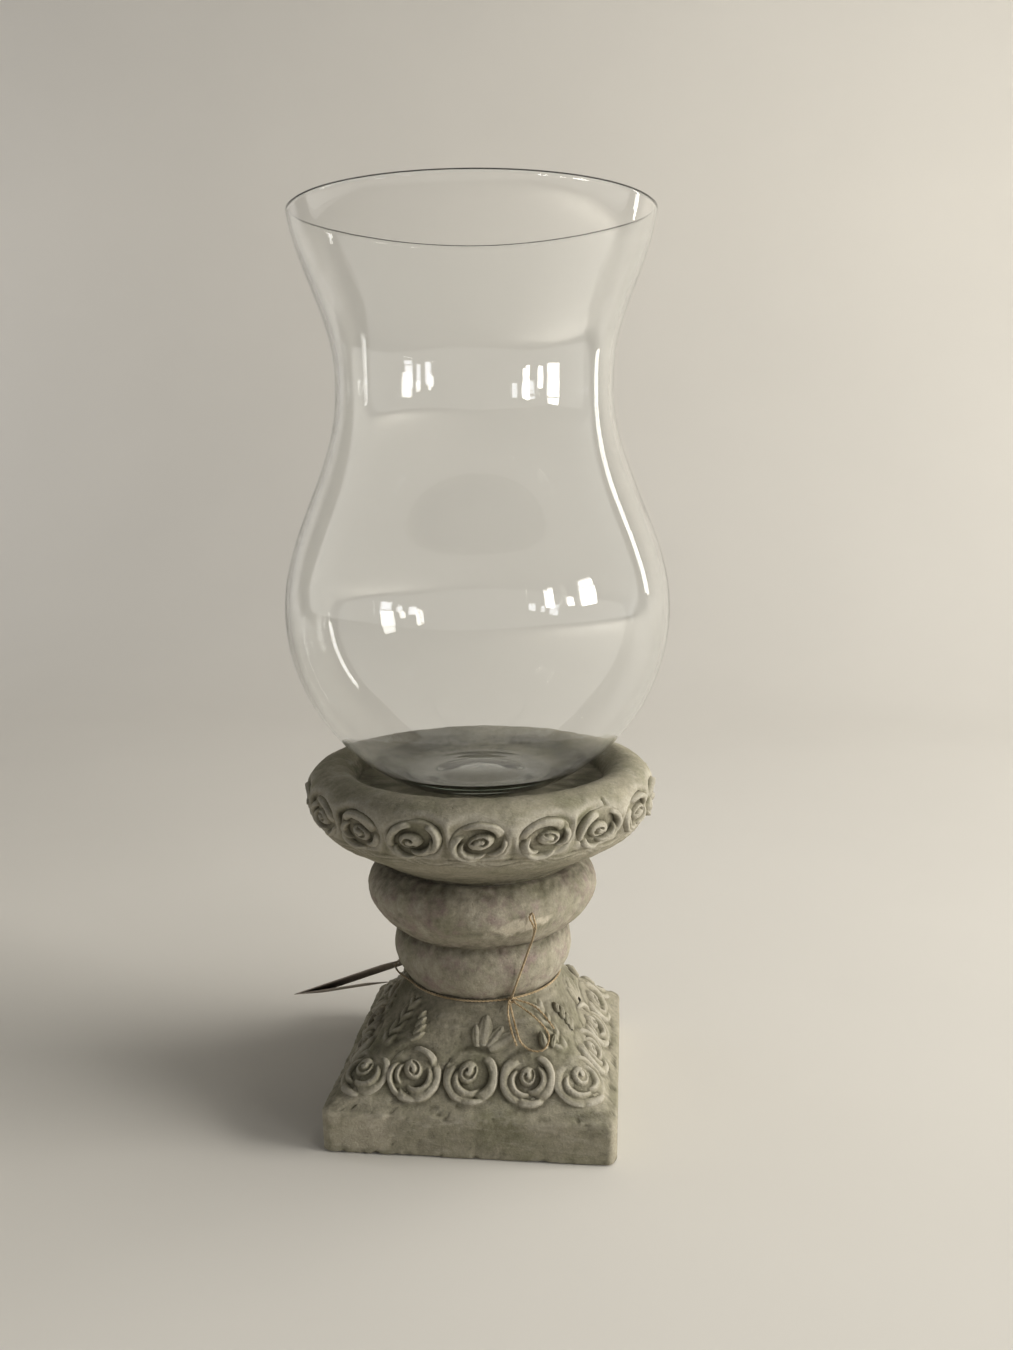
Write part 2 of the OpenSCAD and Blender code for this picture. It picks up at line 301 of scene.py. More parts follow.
def cast_stone(name, tone, pink=0.0, rough=1.0, drag=(1.0, 1.0, 3.5)):
    """Weathered cast stone: matt and porous, a sandy grain, painted shade in the hollows, proud crests
    painted pale, partly as rubbed wear and partly as a painted highlight, olive weathering and here
    and there a mauve cast. Clouds are about 26 mm across, blots 10 mm and streaks 18 mm. Sand grains
    are about 0.6 mm, and air holes are 1 to 2 mm and stand 4 mm apart. Drag stretches the marks that
    the mould or a brush left."""
    material, tree = new_material(name)
    look = colours()
    place = add(tree, "ShaderNodeTexCoord").outputs["Object"]
    dragged = add(tree, "ShaderNodeMapping", {"Vector": place, "Scale": drag}).outputs[0]
    clouds, blots, sand, streaks = [
        add(
            tree, "ShaderNodeTexNoise", {"Vector": at, "Scale": scale, "Detail": detail, "Roughness": fade}
        ).outputs["Fac"]
        for at, scale, detail, fade in (
            (place, 38, 5, 0.62), (place, 95, 4, 0.7), (place, 900, 3, 0.6), (dragged, 55, 6, 0.7),
        )
    ]
    holes = add(tree, "ShaderNodeTexVoronoi", {"Vector": place, "Scale": 240, "Randomness": 1.0})
    hollow, chip = [
        add(tree, "ShaderNodeAttribute", attribute_name=key).outputs["Fac"] for key in ("hollow", "chip")
    ]

    colour = linear(tone)
    for source, limits, coat in (
        # what the coat follows, the values where it starts and is full, its least and most share
        (clouds, (0.42, 0.68, 0.0, 0.75), look.lichen),
        (streaks, (0.52, 0.75, 0.0, 0.55), look.worn),
        (blots, (0.5, 0.68, 0.0, pink), look.rose_patch),
        # painted shade: sunk places go towards the dark hollow tone
        (hollow, (0.0, 0.95, 0.0, 0.88), look.hollow),
        # painted highlight, partly rubbed wear: proud places go towards the pale worn tone
        (hollow, (-0.1, -0.8, 0.0, 0.6), look.worn),
        (chip, (0.0, 1.0, 0.0, 1.0), look.chip),
    ):
        share = add(tree, "ShaderNodeMapRange", {"Value": source, **dict(enumerate(limits, 1))})
        colours_in = {0: share.outputs[0], 6: colour, 7: linear(coat)}
        colour = add(tree, "ShaderNodeMix", colours_in, data_type="RGBA").outputs[2]
    speck = add(tree, "ShaderNodeMapRange", {"Value": sand, 1: 0.3, 2: 0.7, 3: 0.86, 4: 1.1})
    mottle = add(tree, "ShaderNodeMapRange", {"Value": blots, 1: 0.3, 2: 0.7, 3: 1.1, 4: 0.86})
    both = add(tree, "ShaderNodeMath", {0: speck.outputs[0], 1: mottle.outputs[0]}, operation="MULTIPLY")
    speckled = add(tree, "ShaderNodeVectorMath", {0: colour, "Scale": both.outputs[0]}, operation="SCALE")

    pits = add(
        tree, "ShaderNodeMapRange", {"Value": holes.outputs["Distance"], 1: 0.02, 2: 0.16, 3: 0.0, 4: 1.0}
    )
    relief = add(tree, "ShaderNodeMath", {0: sand, 1: 0.5, 2: streaks}, operation="MULTIPLY_ADD")
    coarse = add(
        tree, "ShaderNodeBump", {"Strength": 0.45 * rough, "Distance": 0.0012, "Height": relief.outputs[0]}
    )
    fine = add(
        tree,
        "ShaderNodeBump",
        {"Strength": 0.35, "Distance": 0.0006, "Height": pits.outputs[0], "Normal": coarse.outputs[0]},
    )
    skin = add(
        tree,
        "ShaderNodeBsdfPrincipled",
        {
            "Base Color": speckled.outputs[0],
            "Roughness": 0.93,
            "Specular IOR Level": 0.25,
            "Normal": fine.outputs[0],
        },
    )
    add(tree, "ShaderNodeOutputMaterial", {"Surface": skin.outputs[0]})
    return material


def blown_glass(name):
    """Clear soda-lime glass, blown: smooth and glossy, with ripples about 45 mm long, and a trace
    of green where it is thick."""
    material, tree = new_material(name)
    place = add(tree, "ShaderNodeTexCoord").outputs["Object"]
    waves = add(tree, "ShaderNodeTexNoise", {"Vector": place, "Scale": 22, "Detail": 2}).outputs["Fac"]
    ripple = add(tree, "ShaderNodeBump", {"Strength": 0.06, "Distance": 0.002, "Height": waves})
    skin = add(
        tree,
        "ShaderNodeBsdfPrincipled",
        {
            "Base Color": linear(colours().glass),
            "Roughness": 0.0,
            "IOR": 1.5,
            "Transmission Weight": 1.0,
            "Normal": ripple.outputs[0],
        },
    )
    depth = linear(colours().glass_depth)
    body = add(tree, "ShaderNodeVolumeAbsorption", {"Color": depth, "Density": 13.0})
    add(tree, "ShaderNodeOutputMaterial", {"Surface": skin.outputs[0], "Volume": body.outputs[0]})
    return material


def jute(name):
    """Natural jute twine: dull and tan. Its fibres are about 0.3 mm apart, drawn a little coarse so
    that they show, and its tone drifts over lengths of about 8 mm."""
    material, tree = new_material(name)
    place = add(tree, "ShaderNodeTexCoord").outputs["Object"]
    fibres = add(tree, "ShaderNodeTexNoise", {"Vector": place, "Scale": 1600, "Detail": 2}).outputs["Fac"]
    lengths = add(tree, "ShaderNodeTexNoise", {"Vector": place, "Scale": 120, "Detail": 2}).outputs["Fac"]
    tone = add(tree, "ShaderNodeValToRGB", {"Fac": lengths})
    ends = ((0.3, colours().twine_dark), (0.7, colours().twine))
    for element, (position, code) in zip(tone.color_ramp.elements, ends):
        element.position, element.color = position, linear(code)
    hair = add(tree, "ShaderNodeMapRange", {"Value": fibres, 1: 0.3, 2: 0.7, 3: 0.75, 4: 1.25})
    shade = add(
        tree, "ShaderNodeVectorMath", {0: tone.outputs[0], "Scale": hair.outputs[0]}, operation="SCALE"
    )
    lift = add(tree, "ShaderNodeBump", {"Strength": 0.6, "Distance": 0.0002, "Height": fibres})
    skin = add(
        tree,
        "ShaderNodeBsdfPrincipled",
        {"Base Color": shade.outputs[0], "Roughness": 0.85, "Sheen Weight": 0.25, "Normal": lift.outputs[0]},
    )
    add(tree, "ShaderNodeOutputMaterial", {"Surface": skin.outputs[0]})
    return material


def uncoated_card(name):
    """Uncoated 0.5 mm card: matt, short fibres 1 to 2 mm long show as faint flecks."""
    material, tree = new_material(name)
    place = add(tree, "ShaderNodeTexCoord").outputs["Object"]
    pulp = add(
        tree, "ShaderNodeTexNoise", {"Vector": place, "Scale": 700, "Detail": 4, "Roughness": 0.7}
    ).outputs["Fac"]
    cloud = add(tree, "ShaderNodeTexNoise", {"Vector": place, "Scale": 60, "Detail": 3}).outputs["Fac"]
    ends = {0: cloud, 6: linear(colours().card_pulp), 7: linear(colours().card)}
    tint = add(tree, "ShaderNodeMix", ends, data_type="RGBA")
    fleck = add(tree, "ShaderNodeMapRange", {"Value": pulp, 1: 0.3, 2: 0.7, 3: 0.92, 4: 1.06})
    shade = add(
        tree, "ShaderNodeVectorMath", {0: tint.outputs[2], "Scale": fleck.outputs[0]}, operation="SCALE"
    )
    tooth = add(tree, "ShaderNodeBump", {"Strength": 0.25, "Distance": 0.0001, "Height": pulp})
    skin = add(
        tree,
        "ShaderNodeBsdfPrincipled",
        {"Base Color": shade.outputs[0], "Roughness": 0.9, "Normal": tooth.outputs[0]},
    )
    add(tree, "ShaderNodeOutputMaterial", {"Surface": skin.outputs[0]})
    return material


def finish(name, maker, *args, **kwargs):
    """The named material, made the first time that it is asked for."""
    return bpy.data.materials.get(name) or maker(name, *args, **kwargs)


def plinth_stone():
    return finish("Weathered cast stone", cast_stone, colours().stone)


def ring_stone():
    name = "Weathered cast stone, mauve cast"
    return finish(name, cast_stone, colours().rings, pink=0.8, drag=(1.2, 1.2, 0.8))


def clear_glass():
    return finish("Clear blown soda-lime glass", blown_glass)


def jute_twine():
    return finish("Natural jute twine", jute)


def settle(obj, material, slot, *nodes, body="stand"):
    """Gives a finished piece its material, its CAD nodes and its body. The slot is not used."""
    obj.data.materials.clear()
    obj.data.materials.append(material)
    if nodes:
        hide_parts(*nodes)
    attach(obj, body)
    return obj


# ---------------------------------------------------------------- plinth

# All in mm, but RIDGE_FULL, the share of its corner that a ridge loses at the slope's foot
SLAB_HALF, SLAB_TOP, SLAB_CORNER = 74.0, 23.0, 5.0
SLOPE_FOOT, NECK, SLOPE_RISE, SLOPE_SAG, RIDGE_FULL = 71.0, 41.0, 45.0, 4.0, 0.45
PLINTH_TOP = SLAB_TOP + SLOPE_RISE
FOOT_ROUND, ARRIS_ROUND = 1.6, 2.6
FACE_COLUMNS, UNDER_ROWS, TOP_ROWS = 132, 4, 3
# Height of the row of roses over the slab, the radius of the dip round each, their places along a
# face, and how round a ridge is under the rose at its foot
ROSE_RISE, ROSE_DIP, CORNER_FILLET = 13.6, 13.6, 13.5
FACE_ROSES = (-28.6, 0.3, 29.0)


def slope_half(rise):
    """Half width of the slope at a height above the slab, in mm."""
    t = np.clip(rise / SLOPE_RISE, 0, 1)
    hollow = 4 * SLOPE_SAG * t * (1 - t) * SLOPE_RISE / math.hypot(SLOPE_RISE, SLOPE_FOOT - NECK)
    return SLOPE_FOOT + (NECK - SLOPE_FOOT) * t - hollow + 0.5 * (1 - t)


def square_radius(half, corner, cosine, sine):
    """Distance from the axis to a round-cornered square in a direction."""
    big, small = np.maximum(abs(cosine), abs(sine)), np.minimum(abs(cosine), abs(sine))
    flat = half / big
    inner = half - corner
    along = inner * (big + small)
    round_off = along + np.sqrt(np.maximum(0, along**2 - 2 * inner**2 + corner**2))
    return np.where(flat * small <= inner, flat, round_off)


def plinth_levels():
    """Rows of the plinth from the middle of its underside to the middle of its top:
    (half width, height, how far up the slope from 0 to 1, or -1 on the slab)."""
    rows = [(SLAB_HALF * k, 0.0, -1) for k in (0.25, 0.5, 0.75, 0.93)]
    low, high = SLAB_HALF - FOOT_ROUND, SLAB_HALF - ARRIS_ROUND
    rows += [
        (low + FOOT_ROUND * math.sin(a), FOOT_ROUND - FOOT_ROUND * math.cos(a), -1)
        for a in (0, 0.5, 1.05, 1.57)
    ]
    rows += [(SLAB_HALF, z, -1) for z in np.linspace(2.8, SLAB_TOP - 3.4, 15)]
    rows += [
        (high + ARRIS_ROUND * math.cos(a), SLAB_TOP - ARRIS_ROUND + ARRIS_ROUND * math.sin(a), -1)
        for a in (0.0, 0.4, 0.8, 1.15)
    ]
    shares = np.linspace(0.03, 1, 68)
    rows += [(slope_half(SLOPE_RISE * t), SLAB_TOP + SLOPE_RISE * t, t) for t in shares]
    rows += [(NECK * k, PLINTH_TOP, 1) for k in (0.9, 0.6, 0.3)]
    return rows


def ridge_corner(half, t):
    """Corner radius of the slope's section: round at the neck, and full enough at the foot for
    the rose on each ridge."""
    drawn = half * max(0.0, 1 - (RIDGE_FULL * (1 - t**1.5)) / (math.sqrt(2) - 1))
    return min(half - 0.01, math.hypot(drawn, CORNER_FILLET * smoothed(t / 0.12)))


def ridge_leaf(gap, side, rise):
    """Height of the long leaf that wraps each ridge: soft lobes that lap each other like
    shingles, highest on the ridge, with fine veins that fade out over the face. The gap is the
    distance from the ridge along a face."""
    step = (rise - 20.0 - 0.5 * gap) / 5.0 + 0.12 * np.sin(rise * 0.9 + 2 * (side > 0))
    part = np.mod(step, 1.0)
    round_top = (0.5 - 0.5 * np.cos(2 * math.pi * part)) ** 0.6
    crest = 1.3 * (0.15 + 0.85 * round_top) * smoothed((7.5 - gap) / 3.5)
    veins = 0.25 * (round_top - 0.4) * smoothed((15 - gap) / 5) * smoothed((gap - 5) / 3)
    ends = smoothed((rise - 21.0) / 4.0) * smoothed((43.5 - rise) / 3.0)
    return (crest + veins) * ends


def plinth_body():
    """The plinth's own surface: slab, ledge, hollow slope and four ridges. Over the plain form it
    has the leaf on each ridge and a dip round each rose, then the wander of the cast, chips along
    the slab's edges, and pits."""
    x = (np.arange(FACE_COLUMNS) + 0.5) / FACE_COLUMNS * 2 - 1
    angle = np.concatenate([np.arctan(x) + f * math.pi / 2 - math.pi / 2 for f in range(4)])
    cosine, sine, along = np.cos(angle), np.sin(angle), np.tile(x, 4)
    points, height = [], []
    for half, z, t in plinth_levels():
        corner = min(SLAB_CORNER, half * 0.4) if t < 0 else ridge_corner(half, t)
        reach = square_radius(half, corner, cosine, sine)
        points.append(np.stack([reach * cosine, reach * sine, np.full_like(reach, z)], axis=1))
        relief = np.zeros_like(reach)
        if t >= 0:
            rise = z - SLAB_TOP
            relief += ridge_leaf(half * (1 - abs(along)), along, rise)
            for place in FACE_ROSES:
                gap = np.hypot(along * half - place, (rise - ROSE_RISE) * 1.2)
                relief -= 0.5 * hill(gap - ROSE_DIP, 1.6) * smoothed((0.75 - t) / 0.1)
        height.append(relief)
    points, height = np.array(points), np.array(height)
    rows, columns = height.shape
    flat, level = points.reshape(-1, 3), points[..., 2]

    def cast(size, seed):
        return grain(flat, size, seed).reshape(rows, columns)

    wander = cast(16.0, 1) * 0.45 + cast(4.0, 2) * 0.2
    edges = hill(level - SLAB_TOP + 1, 3.0) + hill(level, 3.0)
    chips = np.clip(cast(7.0, 3) - 0.1, 0, 1) * 1.2 * edges
    pits = np.clip(cast(2.6, 4) - 0.6, 0, 1) * 0.9
    fade = np.ones(rows)
    fade[:UNDER_ROWS], fade[-TOP_ROWS:] = 0, 0.3
    total = (height + wander - chips - pits) * fade[:, None]
    total = np.where(level < 0.5, np.minimum(total, 0), total)

    row = np.arange(rows)
    up = points[np.minimum(row + 1, rows - 1)] - points[np.maximum(row - 1, 0)]
    outward = np.cross(np.roll(points, -1, axis=1) - np.roll(points, 1, axis=1), up)
    outward /= np.maximum(np.linalg.norm(outward, axis=2, keepdims=True), 1e-9)
    outward[:UNDER_ROWS], outward[-TOP_ROWS:] = (0, 0, -1), (0, 0, 1)
    points = points + outward * total[..., None]
    points[..., 2] = np.maximum(points[..., 2], 0)
    points[..., :2] = np.clip(points[..., :2], -SLAB_HALF, SLAB_HALF)

    # Painted shade lies where the surface is sunk and in the crease of the ledge, and the slope is painted
    # darker from 4 mm over the slab upwards; a band along the arris is painted paler.
    z = points[..., 2]
    hollow = sunk(total) + 0.28 * (hill(z - SLAB_TOP - 1, 1.8) - hill(z - SLAB_TOP + 2.6, 1.6))
    hollow = hollow + 0.22 * smoothed((z - SLAB_TOP - 4) / 8) * (1 + cast(22.0, 8))
    # One bare patch low on the front of the slab, and bare upright corners.
    ragged = cast(9.0, 6)
    patch = np.maximum(abs(points[..., 0] + 54) / 17, abs(z - 12) / 9.5) + 0.5 * ragged
    bare = 0.42 * smoothed((1.05 - patch) / 0.25) * (points[..., 1] < -60)
    corner = np.minimum(abs(points[..., 0]), abs(points[..., 1])) - SLAB_HALF + 5
    bare = np.maximum(bare, 0.4 * smoothed(corner / 3 + 0.4 * ragged) * (z < SLAB_TOP + 1))
    layers = {"hollow": np.append(hollow.ravel(), [0, 0]), "chip": np.append(bare.ravel(), [0, 0])}
    whole = np.concatenate([points.reshape(-1, 3), [[0, 0, 0], [0, 0, PLINTH_TOP]]]) * MM
    return mesh_object("plinth_body", whole, turned_faces(rows, columns), layers)


# ---------------------------------------------------------------- roses and leaves

# Six roses, three for the plinth and three for the rim. Each has its bud (middle x and y, radius,
# the way that its groove starts, and the height of the bed round it) and its petals: the way that
# each one faces, in degrees, how far its arc's centre lies off the rose's, the arc's radius, its
# half span in degrees, half width and height, in mm on a rose 12.2 mm in radius.
PATTERN_R = 12.2
ROSES = (
    (
        (-1.2, 1.8, 5.4, 60, 0.9),
        (
            (-16, 1.9, 8.3, 80, 3.3, 3.3), (204, 1.8, 8.6, 72, 2.5, 3.0), (270, 2.4, 8.3, 44, 2.2, 2.4),
            (226, 1.0, 6.1, 92, 2.0, 3.4),
        ),
    ),
    (
        (-0.4, 2.0, 4.9, 120, 0.9),
        (
            (-44, 2.0, 8.3, 76, 3.2, 3.3), (190, 2.1, 8.7, 62, 1.7, 2.8), (56, 2.4, 8.4, 46, 2.2, 2.7),
            (252, 2.2, 8.2, 40, 2.6, 2.4), (308, 1.3, 6.2, 86, 2.0, 3.5), (170, 0.9, 6.2, 50, 1.3, 2.9),
        ),
    ),
    (
        (0.1, 1.0, 4.4, 80, 0.8),
        (
            (-2, 1.6, 8.7, 78, 2.6, 3.2), (184, 1.6, 8.7, 80, 3.1, 3.1), (272, 2.2, 8.4, 42, 2.6, 2.5),
            (206, 1.1, 5.9, 80, 1.7, 3.5), (-22, 1.1, 5.9, 80, 2.0, 3.4),
        ),
    ),
    (
        (1.0, 0.4, 5.8, 200, 0.2),
        (
            (198, 2.4, 8.8, 78, 2.6, 3.3), (222, 2.0, 6.8, 74, 1.8, 3.3), (318, 2.8, 8.2, 48, 1.8, 2.7),
            (60, 1.6, 9.2, 66, 3.0, 2.6),
        ),
    ),
    (
        (1.8, -0.2, 5.2, 150, 0.2),
        (
            (238, 2.8, 8.4, 66, 2.4, 3.4), (196, 2.4, 6.4, 64, 1.8, 3.4), (88, 1.9, 8.4, 84, 3.4, 2.8),
            (338, 2.2, 7.9, 48, 1.8, 2.5),
        ),
    ),
    (
        (-1.2, 0.2, 5.6, 330, 0.2),
        (
            (-14, 2.6, 8.4, 76, 2.6, 3.3), (300, 2.0, 6.6, 68, 1.8, 3.2), (140, 2.3, 8.6, 66, 3.2, 2.7),
            (226, 2.6, 8.2, 48, 2.0, 2.8),
        ),
    ),
)


def petal_height(x, y, petal):
    """Height of one petal: a smooth roll of stone bent along an arc, steep towards the bud. u runs
    along it from -1 to 1, d is the distance outwards from its crest."""
    facing, offset, radius, span, width, tall = petal
    facing, span = math.radians(facing), math.radians(span)
    x, y = x - offset * math.cos(facing), y - offset * math.sin(facing)
    u = (np.mod(np.arctan2(y, x) - facing + math.pi, 2 * math.pi) - math.pi) / span
    taper = np.clip(1 - u * u, 0, 1)
    u = np.clip(u, -1.5, 1.5)
    d = np.hypot(x, y) - radius * (1 - 0.08 * u**2 + 0.11 * u)
    half = 1.1 * width * (0.3 + 0.7 * taper)
    steep = bump(d, 0.62 * half)
    soft = np.clip(1 - (d / (1.6 * half)) ** 2, 0, 1) ** 0.85
    return tall * taper**0.45 * np.where(d < 0, steep, soft)


def rose_height(x, y, pattern, radius, oval):
    """Height of a carved rose over its bed, in mm: rolled petals that lap each other round a
    domed bud, which a small hooked groove winds into. Past its edge it dips into the stone."""
    x, y = x * PATTERN_R / radius, y * PATTERN_R / (radius * oval)
    r = np.hypot(x, y)
    (bud_x, bud_y, bud, slant, bed), petals = ROSES[pattern]
    height = bed * np.clip(1 - (r / PATTERN_R) ** 2, 0, 1) ** 0.7
    for petal in petals:
        height = np.maximum(height, petal_height(x, y, petal))
    slant = math.radians(slant)
    x, y = x - bud_x, y - bud_y
    bx, by = x * math.cos(slant) + y * math.sin(slant), (y * math.cos(slant) - x * math.sin(slant)) * 1.2
    b = np.hypot(bx, by)
    dome = 3.8 * np.clip(1 - (b / bud) ** 2, 0, 1) ** 0.42
    turn = np.mod(np.arctan2(by, bx) + 0.5, 2 * math.pi)
    spiral = (0.06 + 0.62 * turn / (2 * math.pi)) * bud
    groove = bump((b - spiral) / 0.95, 1.0) * (turn > 0.8)
    height = np.maximum(height, dome - 1.6 * groove * (b < bud * 0.88))
    skirt = smoothed((r - PATTERN_R + 0.3) / 1.5)
    return height * (1 - skirt) - 1.8 * skirt


def rose_mesh(name, pattern, radius, oval, bend=0.0):
    """One rose as a round patch of stone, its rim sunk under the surface that it grows from.
    A bend in mm wraps it round a ridge of that radius."""
    radius /= MM
    rings, spokes = 36, 112

    def carved_at(x, y):
        return rose_height(x, y, pattern, radius, oval)

    r = np.linspace(0, 1, rings + 1)[1:] ** 0.9 * radius * 1.09
    a = np.arange(spokes) / spokes * 2 * math.pi
    x, y = r[:, None] * np.cos(a), r[:, None] * np.sin(a) * oval
    z = carved_at(x, y)
    # Painted shade and painted highlight: where the carving lies under its surroundings it is marked to be
    # painted darker, where it stands over them paler, and the rim where the rose dips into the stone is
    # painted darker still.
    around = np.zeros_like(z)
    for k in range(8):
        for reach in (0.9, 1.8, 3.2):
            t = k * math.pi / 4
            around += carved_at(x + reach * math.cos(t), y + reach * math.sin(t)) / 24
    hollow = np.clip((around - z) / 1.1, -1, 1) + 0.15 * smoothed((r[:, None] / radius - 0.96) / 0.1)
    middle = float(carved_at(np.zeros(1), np.zeros(1))[0])
    points = np.concatenate([np.stack([x, y, z], axis=-1).reshape(-1, 3), [[0, 0, middle]]])
    if bend:
        points = wrapped(points, bend)
    centre = rings * spokes
    faces = [(centre, j, (j + 1) % spokes) for j in range(spokes)]
    for i in range(rings - 1):
        for j in range(spokes):
            k = (j + 1) % spokes
            faces.append((i * spokes + j, (i + 1) * spokes + j, (i + 1) * spokes + k, i * spokes + k))
    return mesh_object(name, points * MM, faces, {"hollow": np.append(hollow.ravel(), 0.2)})


def wrapped(points, bend):
    """Points bent round an upright ridge: an eighth of a turn each way, then straight on."""
    x, y, z = points.T
    angle = np.clip(x / bend, -math.pi / 4, math.pi / 4)
    beyond, out = x - angle * bend, bend + z
    across = out * np.sin(angle) + beyond * np.cos(angle)
    return np.stack([across, y, out * np.cos(angle) - beyond * np.sin(angle) - bend], axis=1)


def leaf_mesh(name, length):
    """One carved leaf lying along +Y: a smooth rounded lobe, blunt at its foot, with a slight
    crease along one side."""
    length /= MM
    steps, across = 20, 16
    points, hollow = [], []
    for i in range(steps + 1):
        s = i / steps
        half = 0.27 * length * math.sin(math.pi * (0.1 + 0.9 * s) ** 0.85) ** 0.65
        tip = min(1.0, math.sin(math.pi * min(1, 0.16 + 0.84 * s)) * 1.7) ** 0.6
        for j in range(across + 1):
            t = j / across * 2 - 1
            crown = max(0.0, 1 - t * t) ** 0.5 * tip
            crease = 0.5 * hill(t + 0.3, 0.16) * math.sin(math.pi * s)
            points.append((half * t, length * s, 2.5 * crown - crease - 0.8 * (1 - crown)))
            # Painted shade along the leaf's edges and in its crease, and a painted highlight on its crown.
            hollow.append(0.7 * abs(t) ** 5 + crease - 0.5 * crown * (abs(t) < 0.6))
    row = across + 1
    faces = [
        (i * row + j, i * row + j + 1, (i + 1) * row + j + 1, (i + 1) * row + j)
        for i in range(steps)
        for j in range(across)
    ]
    return mesh_object(name, np.array(points) * MM, faces, {"hollow": hollow})


def carving_tree(name, material):
    """Sets a carved ornament on every point of a mesh, turned by the points' own 'turn' and
    stretched by their 'size', each a little different, and worn by the same cast grain, which is
    about 4 mm across."""
    sockets = (
        ("Places", "Geometry", None),
        ("Ornament", "Object", None),
        ("Turn Variation", "Float", 0.2),
        ("Size Variation", "Float", 0.05),
        ("Wear", "Float", 0.0003),
        ("Seed", "Int", 7),
    )
    tree, given = new_tree(name, sockets, "Carving")
    turn, size = [
        add(tree, "GeometryNodeInputNamedAttribute", {"Name": key}, data_type="FLOAT_VECTOR").outputs[0]
        for key in ("turn", "size")
    ]
    shape = add(tree, "GeometryNodeObjectInfo", {"Object": given["Ornament"]}).outputs["Geometry"]
    facing = add(tree, "FunctionNodeEulerToRotation", {0: turn})
    placed_on = {"Points": given["Places"], "Instance": shape, "Rotation": facing.outputs[0], "Scale": size}
    standing = add(tree, "GeometryNodeInstanceOnPoints", placed_on)
    seed = given["Seed"]
    most = given["Turn Variation"]
    least = add(tree, "ShaderNodeMath", {0: most, 1: -1.0}, operation="MULTIPLY")
    spin = add(tree, "FunctionNodeRandomValue", {2: least.outputs[0], 3: most, "Seed": seed})
    about = add(tree, "ShaderNodeCombineXYZ", {"Z": spin.outputs[1]})
    swung = add(
        tree,
        "GeometryNodeRotateInstances",
        {"Instances": standing.outputs[0], "Rotation": about.outputs[0], "Local Space": True},
    )
    small = add(tree, "ShaderNodeMath", {0: 1.0, 1: given["Size Variation"]}, operation="SUBTRACT")
    grow = add(tree, "FunctionNodeRandomValue", {2: small.outputs[0], 3: 1.0, "Seed": seed})
    scaled = add(
        tree,
        "GeometryNodeScaleInstances",
        {"Instances": swung.outputs[0], "Scale": grow.outputs[1], "Local Space": True},
    )
    real = add(tree, "GeometryNodeRealizeInstances", {"Geometry": scaled.outputs[0]})
    cast = add(tree, "ShaderNodeTexNoise", {"Scale": 260.0, "Detail": 3.0, "Roughness": 0.6})
    centred = add(tree, "ShaderNodeMath", {0: cast.outputs["Fac"], 1: 0.5}, operation="SUBTRACT")
    amount = add(tree, "ShaderNodeMath", {0: centred.outputs[0], 1: given["Wear"]}, operation="MULTIPLY")
    swing = add(tree, "ShaderNodeMath", {0: amount.outputs[0], 1: 4.0}, operation="MULTIPLY")
    normal = add(tree, "GeometryNodeInputNormal").outputs[0]
    shift = add(tree, "ShaderNodeVectorMath", {0: normal, "Scale": swing.outputs[0]}, operation="SCALE")
    worn = add(tree, "GeometryNodeSetPosition", {"Geometry": real.outputs[0], "Offset": shift.outputs[0]})
    return ended(tree, worn.outputs[0], material)


def carved(name, ornament, places, material, **inputs):
    """A row of ornaments. Each place is (point in mm, 3x3 turn, stretch)."""
    holder = mesh_object(name, [np.array(p) * MM for p, _, _ in places], [])
    mesh = holder.data
    for key, values in (
        ("turn", [tuple(Matrix(m).to_euler()) for _, m, _ in places]),
        ("size", [s for _, _, s in places]),
    ):
        layer = mesh.attributes.new(key, "FLOAT_VECTOR", "POINT")
        layer.data.foreach_set("vector", np.asarray(values, dtype=np.float32).ravel())
    grown(holder, carving_tree(name + " carving", material), Ornament=ornament, **inputs)
    bpy.data.objects.remove(ornament)
    return holder


def laid(point, lean, bearing, yaw=0.0, swing=0.0, sink=0.0):
    """A place for an ornament on the side that faces -Y, swung round the axis to a bearing: its
    point, sunk into the stone, and the turn that lays its +Z outwards and its +Y up the side. The
    swing, in its own plane, is in degrees; the other angles are in radians."""
    turn = (
        Matrix.Rotation(yaw, 3, "Z")
        @ Matrix.Rotation(math.pi / 2 - lean, 3, "X")
        @ Matrix.Rotation(math.radians(swing), 3, "Z")
    )
    whole = Matrix.Rotation(bearing, 3, "Z")
    return whole @ (Vector(point) - turn @ UP * sink), whole @ turn


def on_slope(face, x, rise, **lay):
    """A place on a face of the plinth. Near a ridge it follows the ridge's rounding."""
    half = float(slope_half(np.float64(rise)))
    lean = math.atan2(float(slope_half(rise - 4) - slope_half(rise + 4)), 8)
    corner = ridge_corner(half, max(rise, 0) / SLOPE_RISE)
    past = min(max(abs(x) - (half - corner), 0.0), corner * 0.7)
    yaw = math.copysign(math.asin(past / corner), x)
    point = (x, corner - half - math.sqrt(corner**2 - past**2), SLAB_TOP + rise)
    return laid(point, lean, face * math.pi / 2, yaw=yaw, **lay)


def on_ridge(ridge, rise, **lay):
    """A place on a ridge of the plinth."""

    def out(level):
        half = float(slope_half(np.float64(level)))
        corner = ridge_corner(half, level / SLOPE_RISE)
        return (half - corner) * math.sqrt(2) + corner

    lean = math.atan2(out(rise - 4) - out(rise + 4), 8)
    return laid((0, -out(rise), SLAB_TOP + rise), lean, math.pi / 4 + ridge * math.pi / 2, **lay)


# The pattern of each of a face's three roses, from the front face round past the right one
FACE_PATTERNS = ((1, 0, 2), (2, 1, 0), (0, 2, 1), (1, 0, 2))


def rose_sets(name, shapes, sets, **inputs):
    """A set of roses for each shape, (pattern, radius, oval, bend), and its places."""
    pieces = []
    for k, (shape, places) in enumerate(zip(shapes, sets)):
        rose = rose_mesh(f"{name} pattern {k}", *shape)
        pieces.append(carved(f"{name} set {k}", rose, places, plinth_stone(), **inputs))
    return pieces


